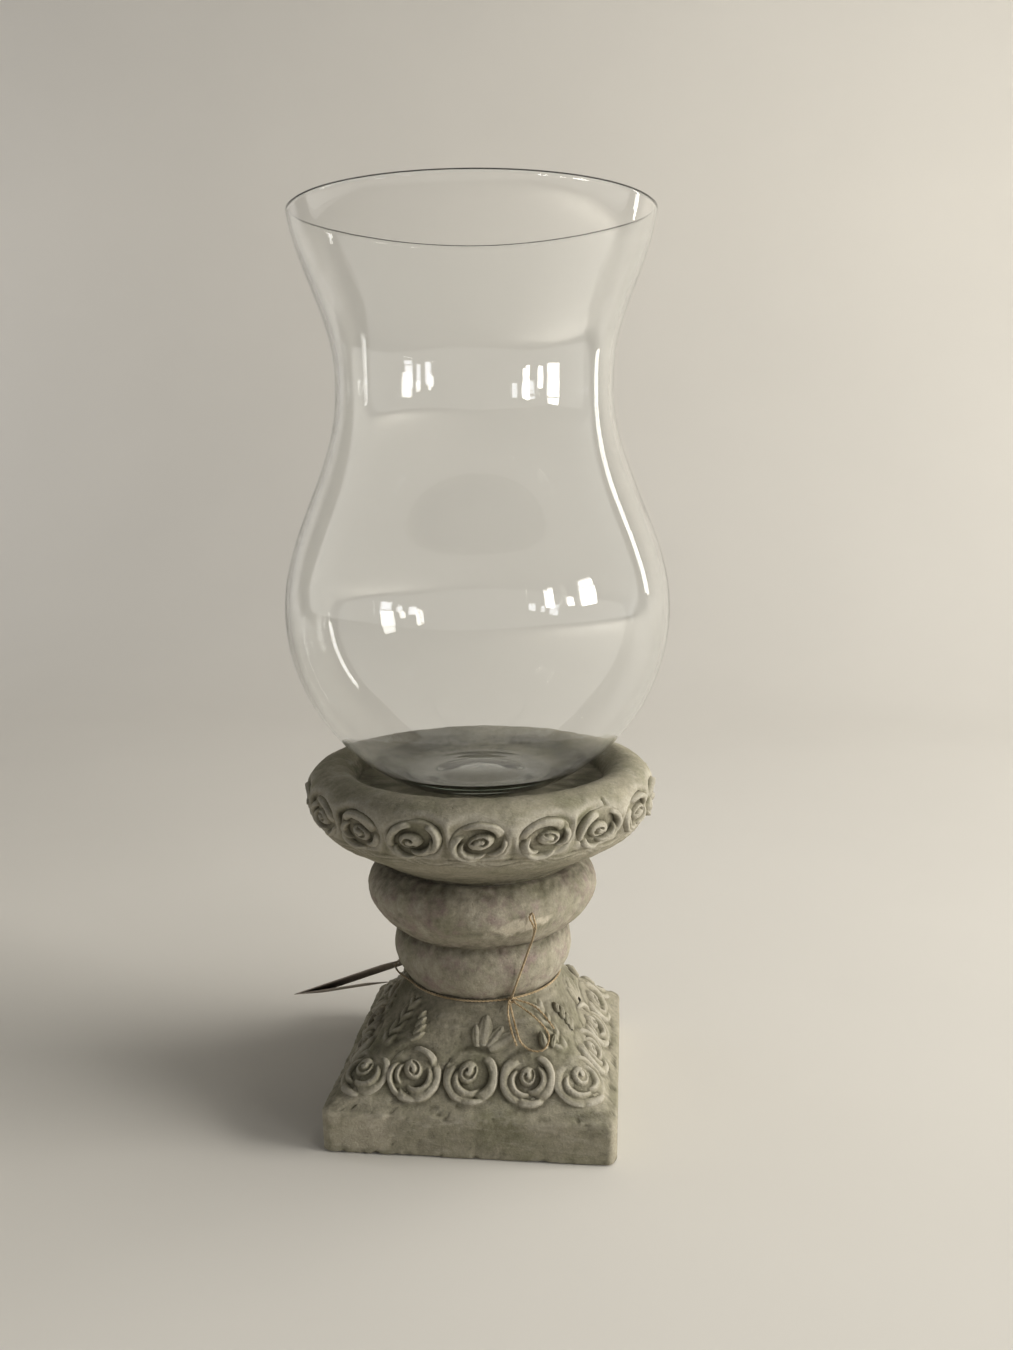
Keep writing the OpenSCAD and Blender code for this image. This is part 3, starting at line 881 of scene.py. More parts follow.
def plinth_roses():
    """Three roses on each face and one round the foot of each ridge."""
    radius = sizes().rose_radius
    flat = [[], [], []]
    for face, patterns in enumerate(FACE_PATTERNS):
        for x, pattern in zip(FACE_ROSES, patterns):
            flat[pattern].append((*on_slope(face, x, ROSE_RISE, sink=0.3), (1.0, 1.0, 1.0)))
    corners = [(*on_ridge(k, ROSE_RISE - 0.5, sink=0.6), (1.06, 1.06, 0.8)) for k in range(4)]
    shapes = [(k, radius, 1.0) for k in range(3)]
    pieces = rose_sets("rose", shapes, flat, Turn_Variation=0.12, Size_Variation=0.04)
    bent = [(2, radius, 1.0, CORNER_FILLET)]
    pieces += rose_sets("ridge rose", bent, [corners], Turn_Variation=0.0, Size_Variation=0.0)
    return joined("plinth_roses", pieces)


def joined(name, pieces):
    """One object from several."""
    bpy.ops.object.select_all(action="DESELECT")
    for piece in pieces:
        piece.select_set(True)
    bpy.context.view_layer.objects.active = pieces[0]
    bpy.ops.object.join()
    pieces[0].name = pieces[0].data.name = name
    return pieces[0]


# A face's leaves: distance along the face, rise over the slab, swing in degrees and stretch. The
# last two stand by its right ridge, where the left face has none.
SPRIG = (
    (2.6, 25.4, 6, 1.3), (5.4, 26.0, -12, 1.8), (8.0, 25.6, -36, 1.5), (8.8, 24.6, -60, 1.9),
    (-28.6, 34.6, -26, 0.62), (-29.6, 31.6, -34, 0.8), (-30.6, 29.0, -42, 0.85), (-31.8, 26.8, -50, 0.9),
    (37.5, 24.8, 2, 1.0), (40.5, 25.0, -30, 0.8),
)
FACE_SPRIGS = (SPRIG, SPRIG, SPRIG, SPRIG[:-2])


def plinth_leaves():
    """Sprigs of leaves above the roses on each face."""
    places = [
        (*on_slope(face, x, rise, swing=swing, sink=0.45), (stretch * 0.95, stretch, 0.9))
        for face, sprig in enumerate(FACE_SPRIGS)
        for x, rise, swing, stretch in sprig
    ]
    leaf = leaf_mesh("leaf pattern", sizes().leaf_length)
    variation = {"Turn_Variation": 0.1, "Size_Variation": 0.12, "Seed": 5}
    return carved("plinth_leaves", leaf, places, plinth_stone(), **variation)


# ---------------------------------------------------------------- turned stone


def turned(name, outline, columns, marks=None, relief=None, chips=None, wear=1.0, seed=0):
    """A turned stone from an (r, z) outline in mm that starts and ends on the axis. relief gives
    raised work in mm at (angle, distance along the outline, radius), marks adds at (r, z) to the
    hollow mark that the stone's finish paints darker, and chips gives bare stone at points."""
    outline = np.asarray(outline)
    r, z = outline.T
    travel = travelled(outline)
    angle = np.arange(columns) / columns * 2 * math.pi

    def swept(r, z):
        flat_z = np.repeat(z[:, None], columns, axis=1)
        return np.stack([r[:, None] * np.cos(angle), r[:, None] * np.sin(angle), flat_z], axis=-1)

    points = swept(r, z)
    flat = points.reshape(-1, 3)
    total = (grain(flat, 14.0, seed) * 0.35 + grain(flat, 3.5, seed + 1) * 0.16) * wear
    total = total.reshape(points.shape[:2])
    if relief:
        total = total + relief(angle[None, :], travel[:, None], r[:, None])
    dr, dz = np.gradient(r), np.gradient(z)
    length = np.hypot(dr, dz)
    points = points + swept(dz / length, -dr / length) * total[..., None]
    # Painted shade and painted highlight: sunk places are marked to be painted darker, and crests paler.
    hollow = sunk(total)
    if marks:
        hollow = hollow + marks(r, z)[:, None]
    layers = {"hollow": np.append(hollow.ravel(), [0, 0])}
    if chips:
        layers["chip"] = np.append(chips(points).ravel(), [0, 0])
    whole = np.concatenate([points.reshape(-1, 3), [[0, 0, z[0]], [0, 0, z[-1]]]]) * MM
    return mesh_object(name, whole, turned_faces(len(outline), columns), layers)


# The baluster's heights and radii in mm. The larger the skew is, the less a ring leans. The lip is
# the bevel of a bed of mortar, and the scuff is the long one, its bearing in degrees.
BALUSTER_Z, GROOVE_Z, BALUSTER_TOP = 70.0, 98.0, 134.0
GROOVE_R, LOWER_RING_R, UPPER_RING_R, RING_TOP_R = 44.5, 47.8, 61.3, 53.0
RING_SKEW, MORTAR_LIP = 19, 0.5
SCUFF_BEARING, SCUFF_Z = 24, 115.5
# The dish in mm: its foot, crest and rolled lip, how deep the seat lies, and the swell of its side
DISH_Z, DISH_FOOT_R, CREST_Z, LIP_R, LIP_CENTRE, DISH_DEPTH = 136.0, 52.0, 187.0, 13.4, 77.5, 10.8
LIP_Z, SEAT_Z, OUTER_R = CREST_Z - LIP_R, CREST_Z - DISH_DEPTH, LIP_CENTRE + LIP_R
SWELL = LIP_R * 2
# The wreath: its turn in degrees, the heights of its pockets and roses, and how deep a rose stands
RIM_TURN, POCKET_Z, RIM_ROSE_Z, RIM_ROSE_SINK = 6.5, LIP_Z - 4.5, LIP_Z - 4.2, 2.5


def ring_outline(r_low, r_wide, r_high, z_low, z_high):
    """A bulging ring, widest nearer to its wider end, as the frame has it."""
    lean = (r_high - r_low) / (r_wide - min(r_low, r_high) + RING_SKEW)
    z_wide = z_low + (z_high - z_low) * (1 + lean) / 2
    z = np.linspace(z_low, z_high, 60)
    below = z < z_wide
    t = np.where(below, (z_wide - z) / (z_wide - z_low), (z - z_wide) / (z_high - z_wide))
    end = np.where(below, r_low, r_high)
    return np.stack([end + (r_wide - end) * (1 - t**2), z], axis=1)


def baluster_body():
    """The two turned rings."""
    lower = ring_outline(NECK, LOWER_RING_R, GROOVE_R, BALUSTER_Z, GROOVE_Z)
    upper = ring_outline(GROOVE_R, UPPER_RING_R, RING_TOP_R, GROOVE_Z, BALUSTER_TOP)
    sides = evened(np.concatenate([lower, upper[1:]]), 1.1)
    under = [(r, BALUSTER_Z) for r in (10, 20, 30, 37)]
    outline = np.concatenate([under, sides, [(r, BALUSTER_TOP) for r in (46, 36, 24, 12)]])

    # Painted shade in the groove between the rings, at the top under the dish and at the foot.
    def painted_shade(r, z):
        groove, top, foot = hill(z - GROOVE_Z, 4.5), hill(z - BALUSTER_TOP, 7.0), hill(z - BALUSTER_Z, 2.5)
        return 0.7 * groove + 0.7 * top + 0.35 * foot

    def scuffs(points):
        """Pale scuffs low on the upper ring: one long one at the front, small ones about."""
        x, y, z = points.reshape(-1, 3).T
        ragged = grain(points.reshape(-1, 3), 5.0, 31)
        around = np.degrees(np.arctan2(x, -y))
        from_long = around - SCUFF_BEARING
        long = np.hypot(from_long / 15, (z - SCUFF_Z - from_long * 0.12) / 4.2) + ragged * 0.6
        low = abs(z - 111) / 13 + np.clip(0.6 - ragged, 0, 2) * 3 + np.clip(22 - around, 0, 60) / 60
        return np.maximum(0.85 * smoothed((1.0 - long) / 0.3), 0.3 * smoothed((1.0 - low) / 0.8))

    return turned("baluster_rings", outline, 300, marks=painted_shade, chips=scuffs, wear=1.1, seed=20)


def mortar_bed(name, radius, low, high, seed):
    """A bed of mortar with a lumpy, slightly squeezed-out edge."""
    tucked, proud = radius - 0.4, radius + 0.1
    edge = [(tucked, low), (proud, low + MORTAR_LIP), (proud, high - MORTAR_LIP), (tucked, high)]
    under = [(radius * k, low) for k in (0.3, 0.6, 0.9)]
    outline = np.concatenate([under, evened(edge, 0.5), [(radius * k, high) for k in (0.9, 0.6, 0.3)]])
    return turned(name, outline, 220, marks=lambda r, z: np.full_like(r, 0.55), wear=0.9, seed=seed)


# Half the least width of a rose's pocket and half its height, round the dish and up its side, the
# degrees that a pocket's deep side faces on most roses and on the rest, and where the crack is
POCKET_WIDE, POCKET_TALL = 13.6, 9.8
DEEP_SIDE, OTHER_SIDE = 146.0, 30.0
CRACK_BEARING = math.radians(-41.0)


def dish_relief(angle, travel, radius, rose_travel, first):
    """Carving on the dish: each rose is sunk in a pocket, deeper on one side, with a web of stone
    between neighbours, a scratched band below, and one crack in the lip. u and v are mm round the
    dish and up its side from the middle of the nearest rose."""
    count = sizes().rim_roses
    spacing = 2 * math.pi / count
    local = np.mod(angle - first + spacing / 2, spacing) - spacing / 2
    which = np.floor(np.mod(angle - first + spacing / 2, 2 * math.pi) / spacing).astype(int) % count
    shares = np.random.default_rng(12).random((count, 4))
    width_share, side_share, turn_share, depth_share = np.moveaxis(shares[which], -1, 0)
    u, v = local * radius, travel - rose_travel
    here = (radius > 60) & (v > -16) & (v < 24)

    wide = POCKET_WIDE + 1.4 * width_share
    away = (np.hypot(u / wide, v / POCKET_TALL) - 1) * 12.0
    bearing = np.degrees(np.arctan2(v / POCKET_TALL, u / wide))
    deep = np.where(side_share > 0.35, DEEP_SIDE, OTHER_SIDE) + 16 * turn_share
    facing = (0.5 + 0.5 * np.cos(np.radians(bearing - deep))) ** 4 * (0.45 + 0.55 * depth_share)
    pocket = 3.2 * (smoothed((away + 2.2) / (2.4 + 1.4 * facing)) - 1)
    land = 0.5 * smoothed(away / 3) * smoothed((v + 3) / 7) * (1 - smoothed((v - 8) / 12))
    cavity = -2.6 * facing * hill(away - 1.2, 2.2) * smoothed((v + 9) / 5)

    web = abs(u) - spacing * radius / 2
    beyond = shares[(which + np.where(u > 0, 0, -1)) % count][..., 2]
    crest = 0.8 * beyond * hill(web, 1.6) * smoothed((v + 5) / 5) * smoothed((11 - v) / 6)
    spread = 0.9 + 0.16 * np.clip(4 - v, 0, 12)
    crease = (beyond - 1.2) * hill(web, spread) * smoothed((5 - v) / 5) * smoothed((v + 12) / 5)

    scratch = 0.35 * np.sin(u * 0.5 + v * 2.4 + 5 * np.sin(u * 0.23)) * hill(v + 13.5, 2.0)
    scored = 0.6 * hill(v + 10.8, 1.0) * (0.4 + 0.6 * side_share)
    from_crack = (np.mod(angle - CRACK_BEARING + math.pi, 2 * math.pi) - math.pi) * radius
    wander = 1.4 * hill(v - 9, 3) - 0.6
    crack = 1.4 * hill(from_crack - wander, 0.7) * smoothed((v - 5) / 2) * smoothed((15.5 - v) / 2)
    return np.where(here, pocket + land + cavity + crest + crease + scratch - scored - crack, 0)


def dish_outline():
    """Underside, swelling side, rolled lip and flat seat."""
    seat_angle = math.degrees(math.asin((SEAT_Z - LIP_Z) / LIP_R))
    side = (
        [(DISH_FOOT_R, DISH_Z)]
        + arc((OUTER_R - SWELL, LIP_Z), SWELL, -68, 0, 30)
        + arc((LIP_CENTRE, LIP_Z), LIP_R - 0.2, 12, 180 - seat_angle, 30)
    )
    seat = [(r, SEAT_Z) for r in (58, 48, 36, 24, 12)]
    return np.concatenate([[(r, DISH_Z) for r in (12, 26, 40)], evened(side, 0.92), seat])


def dish_body():
    """The dish with the bed that its roses grow from."""
    outline = dish_outline()
    outside = (outline[:, 0] > 80) & (outline[:, 1] < LIP_Z + 5)
    at = np.argmin(np.where(outside, abs(outline[:, 1] - POCKET_Z), 99))
    middle, first = travelled(outline)[at], math.radians(RIM_TURN - 90)

    def relief(angle, along, radius):
        return dish_relief(angle, along, radius, middle, first)

    def painted_shade(r, z):
        """Painted shade low on the side under the dish, and on the seat under the glass, thickest just
        inside the lip.
        """
        under = smoothed((150 - z) / 12) * (r > 40)
        seat = (hill(r - 62, 5) + 0.5 * (r < 60)) * (z > 170)
        return 0.5 * under + 0.5 * seat

    return turned("dish_body", outline, 612, marks=painted_shade, relief=relief, wear=0.9, seed=40)


def rim_roses():
    """The wreath of roses round the dish, in an uneven order of three patterns."""
    count = sizes().rim_roses
    lean = math.asin((LIP_Z - RIM_ROSE_Z) / SWELL)
    bed = OUTER_R - SWELL + SWELL * math.cos(lean) - RIM_ROSE_SINK
    sets = [[], [], []]
    for k in range(count):
        place = laid((0, -bed, RIM_ROSE_Z), -lean, math.radians(RIM_TURN + 360 / count * k))
        sets[(k * 7 + k // 5) % 3].append((*place, (1.0, 1.0, 1.05)))
    shapes = [(k + 3, sizes().rim_rose_radius, 0.7) for k in range(3)]
    variation = {"Turn_Variation": 0.25, "Size_Variation": 0.06, "Seed": 3}
    return joined("rim_roses", rose_sets("rim rose", shapes, sets, **variation))


# ---------------------------------------------------------------- glass

# All in mm: where the glass stands, its radii, the heights between them, the bead round its rim,
# the thickness of its base, and how much thinner its wall is at the rim. The flare starts a little
# over the waist and stops short of half a wave, so that it still leans out at the rim.
GLASS_Z, FOOT_R, BELLY_R, WAIST_R, RIM_R = 176.5, 39.0, 98.5, 69.4, 90.3
BELLY_TO_WAIST, WAIST_TO_RIM = 110, 84
FLARE_START, FLARE_SHARE, FLARE_WAVE = 0.07, 0.93, 0.9 * math.pi
BELLY_Z = GLASS_Z + math.sqrt(BELLY_R**2 - FOOT_R**2)
WAIST_Z = BELLY_Z + BELLY_TO_WAIST
RIM_Z = WAIST_Z + WAIST_TO_RIM
BEAD_R, BASE_T, RIM_THINNING = 0.95, 6.0, 0.65
# (r, height over the foot) of the hollow under the foot, and (r, height over the floor's low ring)
# of the floor inside
UNDER = ((0, 2.5), (6, 2.4), (12, 2.05), (18, 1.1), (23, 0.12), (25, 0), (36.6, 0), (38.4, 0.25))
FLOOR = ((49, 2.6), (45.5, 1.1), (41, 0.15), (36, 0), (27, 0.3), (18, 0.9), (9, 1.5), (0, 1.75))


def glass_radius(z):
    """Outer radius of the blown wall at a height, in mm."""
    if z < BELLY_Z:
        return math.sqrt(max(0, BELLY_R**2 - (BELLY_Z - z) ** 2))
    if z < WAIST_Z:
        narrowing = (1 + math.cos(math.pi * (z - BELLY_Z) / BELLY_TO_WAIST)) / 2
        return WAIST_R + (BELLY_R - WAIST_R) * narrowing
    t = max(0, (z - WAIST_Z) / WAIST_TO_RIM - FLARE_START) / FLARE_SHARE
    opening = (1 - math.cos(FLARE_WAVE * t)) / (1 - math.cos(FLARE_WAVE))
    return WAIST_R + (RIM_R - 0.15 - WAIST_R) * opening


def chimney():
    """The blown chimney: one closed wall from the hollow under its foot to the floor inside."""
    wall, top, floor = sizes().glass_wall / MM, RIM_Z - 1.0, GLASS_Z + BASE_T
    outer = [(glass_radius(z), z) for z in np.linspace(GLASS_Z + 1.2, top, 420)]
    inner = [
        (glass_radius(z) - wall + RIM_THINNING * smoothed(1 - (top - z) / 30), z)
        for z in np.linspace(top, floor + 2 * wall, 420)
    ]
    outline = np.concatenate(
        [
            evened([(r, GLASS_Z + z) for r, z in UNDER], 1.5),
            evened(outer, 1.6)[1:],
            arc((RIM_R - 1.05, top), BEAD_R, 0, 180, 14)[1:-1],
            evened(inner, 1.6)[1:],
            evened([(r, floor + z) for r, z in FLOOR], 1.5)[1:],
        ]
    )
    profile = polyline("glass outline", [(max(r, 0) * MM, 0, z * MM) for r, z in outline])
    holder = mesh_object("glass_chimney_blown", [(0, 0, 0)], [])
    grown(holder, blowing_tree(), Outline=profile, Rows=len(outline))
    bpy.data.objects.remove(profile)
    return holder


def blowing_tree():
    """Turns an outline round the axis, with the slight ripple of hand-blown glass. The outline
    starts and ends on the axis."""
    sockets = (
        ("Start", "Geometry", None),
        ("Outline", "Object", None),
        ("Rows", "Int", 600),
        ("Columns", "Int", 192),
        ("Ripple", "Float", 0.0007),
        ("Ripples per Metre", "Float", 9.0),
        ("Seed", "Float", 4.0),
    )
    tree, given = new_tree("Blown wall", sockets, "Glass")
    more = add(tree, "ShaderNodeMath", {0: given["Columns"], 1: 1.0}, operation="ADD")
    grid = add(
        tree,
        "GeometryNodeMeshGrid",
        {"Size X": 2 * math.pi, "Size Y": 1.0, "Vertices X": more.outputs[0], "Vertices Y": given["Rows"]},
    )
    spot = add(tree, "ShaderNodeSeparateXYZ", {0: add(tree, "GeometryNodeInputPosition").outputs[0]})
    share = add(tree, "ShaderNodeMath", {0: spot.outputs["Y"], 1: 0.5}, operation="ADD")
    line = add(tree, "GeometryNodeObjectInfo", {"Object": given["Outline"]}).outputs["Geometry"]
    reached = add(
        tree,
        "GeometryNodeSampleCurve",
        {"Curves": line, "Factor": share.outputs[0]},
        mode="FACTOR",
        use_all_curves=True,
    )
    turned_to = add(
        tree,
        "ShaderNodeVectorRotate",
        {"Vector": reached.outputs["Position"], "Angle": spot.outputs["X"]},
        rotation_type="Z_AXIS",
    ).outputs[0]
    wave = add(
        tree,
        "ShaderNodeTexNoise",
        {"Vector": turned_to, "W": given["Seed"], "Scale": given["Ripples per Metre"], "Detail": 1.0},
        noise_dimensions="4D",
    )
    centred = add(tree, "ShaderNodeMath", {0: wave.outputs["Fac"], 1: 0.5}, operation="SUBTRACT")
    lift = add(tree, "ShaderNodeMath", {0: centred.outputs[0], 1: given["Ripple"]}, operation="MULTIPLY")
    outward = add(tree, "ShaderNodeVectorMath", {0: turned_to, 1: (9.0, 9.0, 0.0)}, operation="MULTIPLY")
    offset = {0: outward.outputs[0], "Scale": lift.outputs[0]}
    shift = add(tree, "ShaderNodeVectorMath", offset, operation="SCALE")
    final = add(tree, "ShaderNodeVectorMath", {0: turned_to, 1: shift.outputs[0]}, operation="ADD")
    moved = {"Geometry": grid.outputs["Mesh"], "Position": final.outputs[0]}
    shaped = add(tree, "GeometryNodeSetPosition", moved)
    closed = add(tree, "GeometryNodeMergeByDistance", {"Geometry": shaped.outputs[0], "Distance": 1e-5})
    return ended(tree, closed.outputs[0], clear_glass())


# ---------------------------------------------------------------- twine

# The band's radius and height, and how far and over how many degrees each way the card pulls it
# out; then the middle of the knot and the routes of the bow, all in mm
BAND_R, TWINE_Z, BAND_BULGE, BULGE_HALF = 41.9, 69.0, 6.7, 34.0
KNOT = (19.16, -39.28, TWINE_Z)
UP_LOOP = (
    (19.4, -40.4, 70.2), (22, -44.6, 79.4), (28.6, -47.2, 98.8), (33.2, -57.4, 115), (32.6, -57.6, 120.8),
    (31.6, -56.2, 123.2), (30.2, -54.6, 120), (32.4, -53.6, 113), (28.2, -44.8, 97.6), (21.8, -42.8, 78.4),
    (19, -38.8, 70.6),
)
DOWN_LOOP = (
    (18.6, -41, 67.6), (22.8, -48.2, 56), (25.6, -51.6, 51.6), (31, -53.6, 49), (37, -53, 49.8),
    (39, -48.8, 55.4), (32, -44.8, 62.4), (20.8, -40, 68.2),
)
LEFT_TAIL = ((18, -40.8, 69.6), (18.2, -46, 64), (20.4, -49.8, 56.4), (23, -52.2, 50.6))
RIGHT_TAIL = ((21, -39, 69.4), (30, -40, 67), (36, -42.2, 63), (41.5, -45.8, 57.5))


def smooth_route(route, steps=6):
    """Points on a smooth curve through a route in mm, in metres."""
    p = [Vector(q) * MM for q in route]
    out = []
    for i in range(len(p) - 1):
        a, b, c, d = p[max(i - 1, 0)], p[i], p[i + 1], p[min(i + 2, len(p) - 1)]
        for t in (k / steps for k in range(steps)):
            square, cube = 2 * a - 5 * b + 4 * c - d, 3 * b - a - 3 * c + d
            out.append(0.5 * (2 * b + (c - a) * t + square * t**2 + cube * t**3))
    return out + [p[-1]]


def band_route():
    """The band round the neck, pulled out at the left where it carries the card."""
    out = []
    for degrees in range(0, 360, 3):
        off = min(abs(degrees - 180), BULGE_HALF) / BULGE_HALF
        r = BAND_R + BAND_BULGE * math.cos(math.radians(90 * off)) ** 2
        a = math.radians(degrees)
        out.append(Vector((r * math.cos(a), r * math.sin(a), TWINE_Z)) * MM)
    return out


def knot_route():
    """The knot: a tight closed figure about the twine's own width."""
    out = []
    for t in (i / 72 * 2 * math.pi for i in range(72)):
        wide = 1.25 + 0.28 * math.cos(3 * t)
        figure = Vector((wide * math.cos(2 * t), 0.75 * math.sin(3 * t), wide * math.sin(2 * t)))
        out.append((Vector(KNOT) + Matrix.Rotation(math.radians(26), 3, "Z") @ figure) * MM)
    return out


def twine_tree(name):
    """Lays two plies round a curve, turning about it once in each lay."""
    sockets = (("Route", "Geometry", None), ("Diameter", "Float", 0.0012), ("Lay", "Float", 0.004))
    tree, given = new_tree(name, sockets, "Twine")
    step = {"Curve": given["Route"], "Length": 0.00035}
    fine = add(tree, "GeometryNodeResampleCurve", step, mode="LENGTH")
    along = add(tree, "GeometryNodeSplineParameter").outputs["Length"]
    turns = add(tree, "ShaderNodeMath", {0: along, 1: given["Lay"]}, operation="DIVIDE")
    whole = add(tree, "ShaderNodeMath", {0: turns.outputs[0], 1: 2 * math.pi}, operation="MULTIPLY")
    way = add(tree, "GeometryNodeInputTangent").outputs[0]
    side = add(tree, "GeometryNodeInputNormal").outputs[0]
    out = add(tree, "ShaderNodeMath", {0: given["Diameter"], 1: 0.2}, operation="MULTIPLY")
    strand = add(tree, "ShaderNodeMath", {0: given["Diameter"], 1: 0.3}, operation="MULTIPLY")
    round_ply = {"Resolution": 8, "Radius": strand.outputs[0]}
    ring = add(tree, "GeometryNodeCurvePrimitiveCircle", round_ply).outputs[0]
    both = add(tree, "GeometryNodeJoinGeometry")
    for ply in range(2):
        angle = add(tree, "ShaderNodeMath", {0: whole.outputs[0], 1: ply * math.pi}, operation="ADD")
        swung = add(
            tree,
            "ShaderNodeVectorRotate",
            {"Vector": side, "Axis": way, "Angle": angle.outputs[0]},
            rotation_type="AXIS_ANGLE",
        )
        offset = {0: swung.outputs[0], "Scale": out.outputs[0]}
        shift = add(tree, "ShaderNodeVectorMath", offset, operation="SCALE")
        moved = {"Geometry": fine.outputs[0], "Offset": shift.outputs[0]}
        ply_line = add(tree, "GeometryNodeSetPosition", moved).outputs[0]
        tube = {"Curve": ply_line, "Profile Curve": ring, "Fill Caps": True}
        tree.links.new(add(tree, "GeometryNodeCurveToMesh", tube).outputs[0], both.inputs[0])
    return ended(tree, both.outputs[0], jute_twine())


def twine_piece(name, route, closed=False):
    """Twine along a route, as a plain mesh."""
    path = polyline(name + " route", route, closed)
    tree = bpy.data.node_groups.get("Two-ply twine") or twine_tree("Two-ply twine")
    mesh = evaluated(path, tree, Diameter=sizes().twine_diameter, Lay=sizes().twine_lay)
    bpy.data.objects.remove(path)
    return placed(name, mesh)


# ---------------------------------------------------------------- card

# In mm: the upper leaf from the hole's middle to the fold, the lower leaf, the width, the
# thickness, the hole's radius, the clip at each front corner, and the front edge; then the degrees
# that the card opens, droops and rolls, and the point of the band that it hangs from
CARD_LEN, LOWER_LEN, CARD_W, CARD_T, CARD_HOLE, CARD_CLIP = 55.0, 42.0, 34.0, 0.5, 3.0, 8.0
CARD_FRONT = CARD_HOLE + 2.5
CARD_OPEN, CARD_DROOP, CARD_ROLL = 9.0, 21.0, 25.0
CARD_PIVOT = (-(BAND_R + BAND_BULGE), 0.0, TWINE_Z)


def card_line():
    """The card from its front edge over the hole to the fold and down the lower leaf: (x, z) of
    its middle, the direction of its upper side, and how many of the points are before the fold."""
    opening = math.radians(CARD_OPEN)
    xs = np.concatenate(
        [
            np.linspace(CARD_FRONT, CARD_HOLE, 5),
            np.linspace(CARD_HOLE, -CARD_HOLE, 13)[1:],
            np.linspace(-CARD_HOLE, -CARD_LEN, 27)[1:],
        ]
    )
    line = [(x, 0.0) for x in xs]
    line += [
        (-CARD_LEN + LOWER_LEN * s * math.cos(opening), -LOWER_LEN * s * math.sin(opening))
        for s in np.linspace(0, 1, 25)[1:]
    ]
    way = np.gradient(np.array(line), axis=0)
    way /= np.linalg.norm(way, axis=1, keepdims=True)
    up = np.stack([way[:, 1], -way[:, 0]], axis=1)
    up[: len(xs) - 1] = (0, 1)
    up[len(xs) :] = (-math.sin(opening), -math.cos(opening))
    return line, up, len(xs)


def folded_card():
    """One piece of card folded at its far end, its hole punched for the twine."""
    line, up, before_fold = card_line()
    half_t, half_w = CARD_T / 2 - 0.02, CARD_W / 2
    rows, columns = len(line) - 1, 18
    points, faces, index = [], [], {}
    for i, ((x, z), n) in enumerate(zip(line, up)):
        clipped = max(0.0, x - (CARD_FRONT - CARD_CLIP)) if i < before_fold else 0.0
        for j in range(columns + 1):
            y = (half_w - clipped) * (2 * j / columns - 1)
            for level, sign in enumerate((1, -1)):
                index[i, j, level] = len(points)
                points.append((x + n[0] * half_t * sign, y, z + n[1] * half_t * sign))

    def corners(i, j):
        return (i, j), (i + 1, j), (i + 1, j + 1), (i, j + 1)

    cells = [(i, j) for i in range(rows) for j in range(columns)]
    hole = set()
    for i, j in cells[: (before_fold - 1) * columns]:
        middle = np.mean([points[index[(*q, 0)]] for q in corners(i, j)], axis=0)
        if math.hypot(middle[0], middle[1]) < CARD_HOLE:
            hole.add((i, j))
    kept = set(cells) - hole
    for i, j in cells:
        if (i, j) in hole:
            continue
        a, b, c, d = corners(i, j)
        faces.append(tuple(index[(*q, 0)] for q in (a, d, c, b)))
        faces.append(tuple(index[(*q, 1)] for q in (a, b, c, d)))
        sides = ((a, b, (i, j - 1)), (b, c, (i + 1, j)), (c, d, (i, j + 1)), (d, a, (i - 1, j)))
        for p, q, beyond in sides:
            if beyond not in kept:
                faces.append((index[(*p, 0)], index[(*q, 0)], index[(*q, 1)], index[(*p, 1)]))

    # The stepped edge of the hole is drawn out or in to a circle.
    points = np.array(points)
    from_hole = np.hypot(points[:, 0], points[:, 1])
    rim = {index[(*q, level)] for cell in hole for q in corners(*cell) for level in (0, 1)}
    for v in rim:
        if 0.5 < from_hole[v] < CARD_HOLE * 1.45 and points[v, 0] > -10:
            points[v, :2] *= CARD_HOLE / from_hole[v]
    roll = Matrix.Rotation(math.radians(-CARD_ROLL), 3, "X")
    turn = Matrix.Rotation(math.radians(-CARD_DROOP), 3, "Y") @ roll
    points = np.array([turn @ Vector(p) for p in points]) + np.array(CARD_PIVOT)
    obj = mesh_object("folded_card", points * MM, faces)
    form = bmesh.new()
    form.from_mesh(obj.data)
    bmesh.ops.delete(form, geom=[v for v in form.verts if not v.link_faces], context="VERTS")
    bmesh.ops.recalc_face_normals(form, faces=form.faces)
    form.to_mesh(obj.data)
    form.free()
    obj.data.shade_flat()
    return obj


# ---------------------------------------------------------------- stage

# In metres and degrees: the camera's place, its way across the floor, its dip and its roll
CAMERA_PLACE = (0.0773, -0.5979, 0.3407)
CAMERA_WAY, CAMERA_DIP, CAMERA_ROLL, CAMERA_LENS = (-0.1047, 0.9945), 10.29, -0.62, 31.2
FLOOR_SIDES, FLOOR_FRONT, SWEEP_Y, SWEEP_R, WALL_TOP = (-5.0, 3.6), -3.0, 0.9, 0.8, 4.0
# The world is brighter and has a tone of its own where the camera or the glass sees it.
WORLD_FILL, ROOM_STRENGTH = 0.12, 1.2
WORLD_TONE, ROOM_NEAR, ROOM_FAR = "#e6e6e4", "#c2bfb8", "#e2dfd8"
# Panes of the two windows: left, right, bottom and top in shares of the window
RIGHT_PANES = (
    (0.0, 0.06, 0.15, 0.9), (0.08, 0.16, 0.1, 0.95), (0.4, 0.52, 0.1, 0.42), (0.66, 0.98, 0.0, 0.72),
    (0.68, 0.96, 0.78, 1.0),
)
LEFT_PANES = (
    (0.0, 0.3, 0.0, 0.3), (0.02, 0.3, 0.38, 1.0), (0.46, 0.58, 0.3, 0.8), (0.76, 0.96, 0.15, 0.8),
)


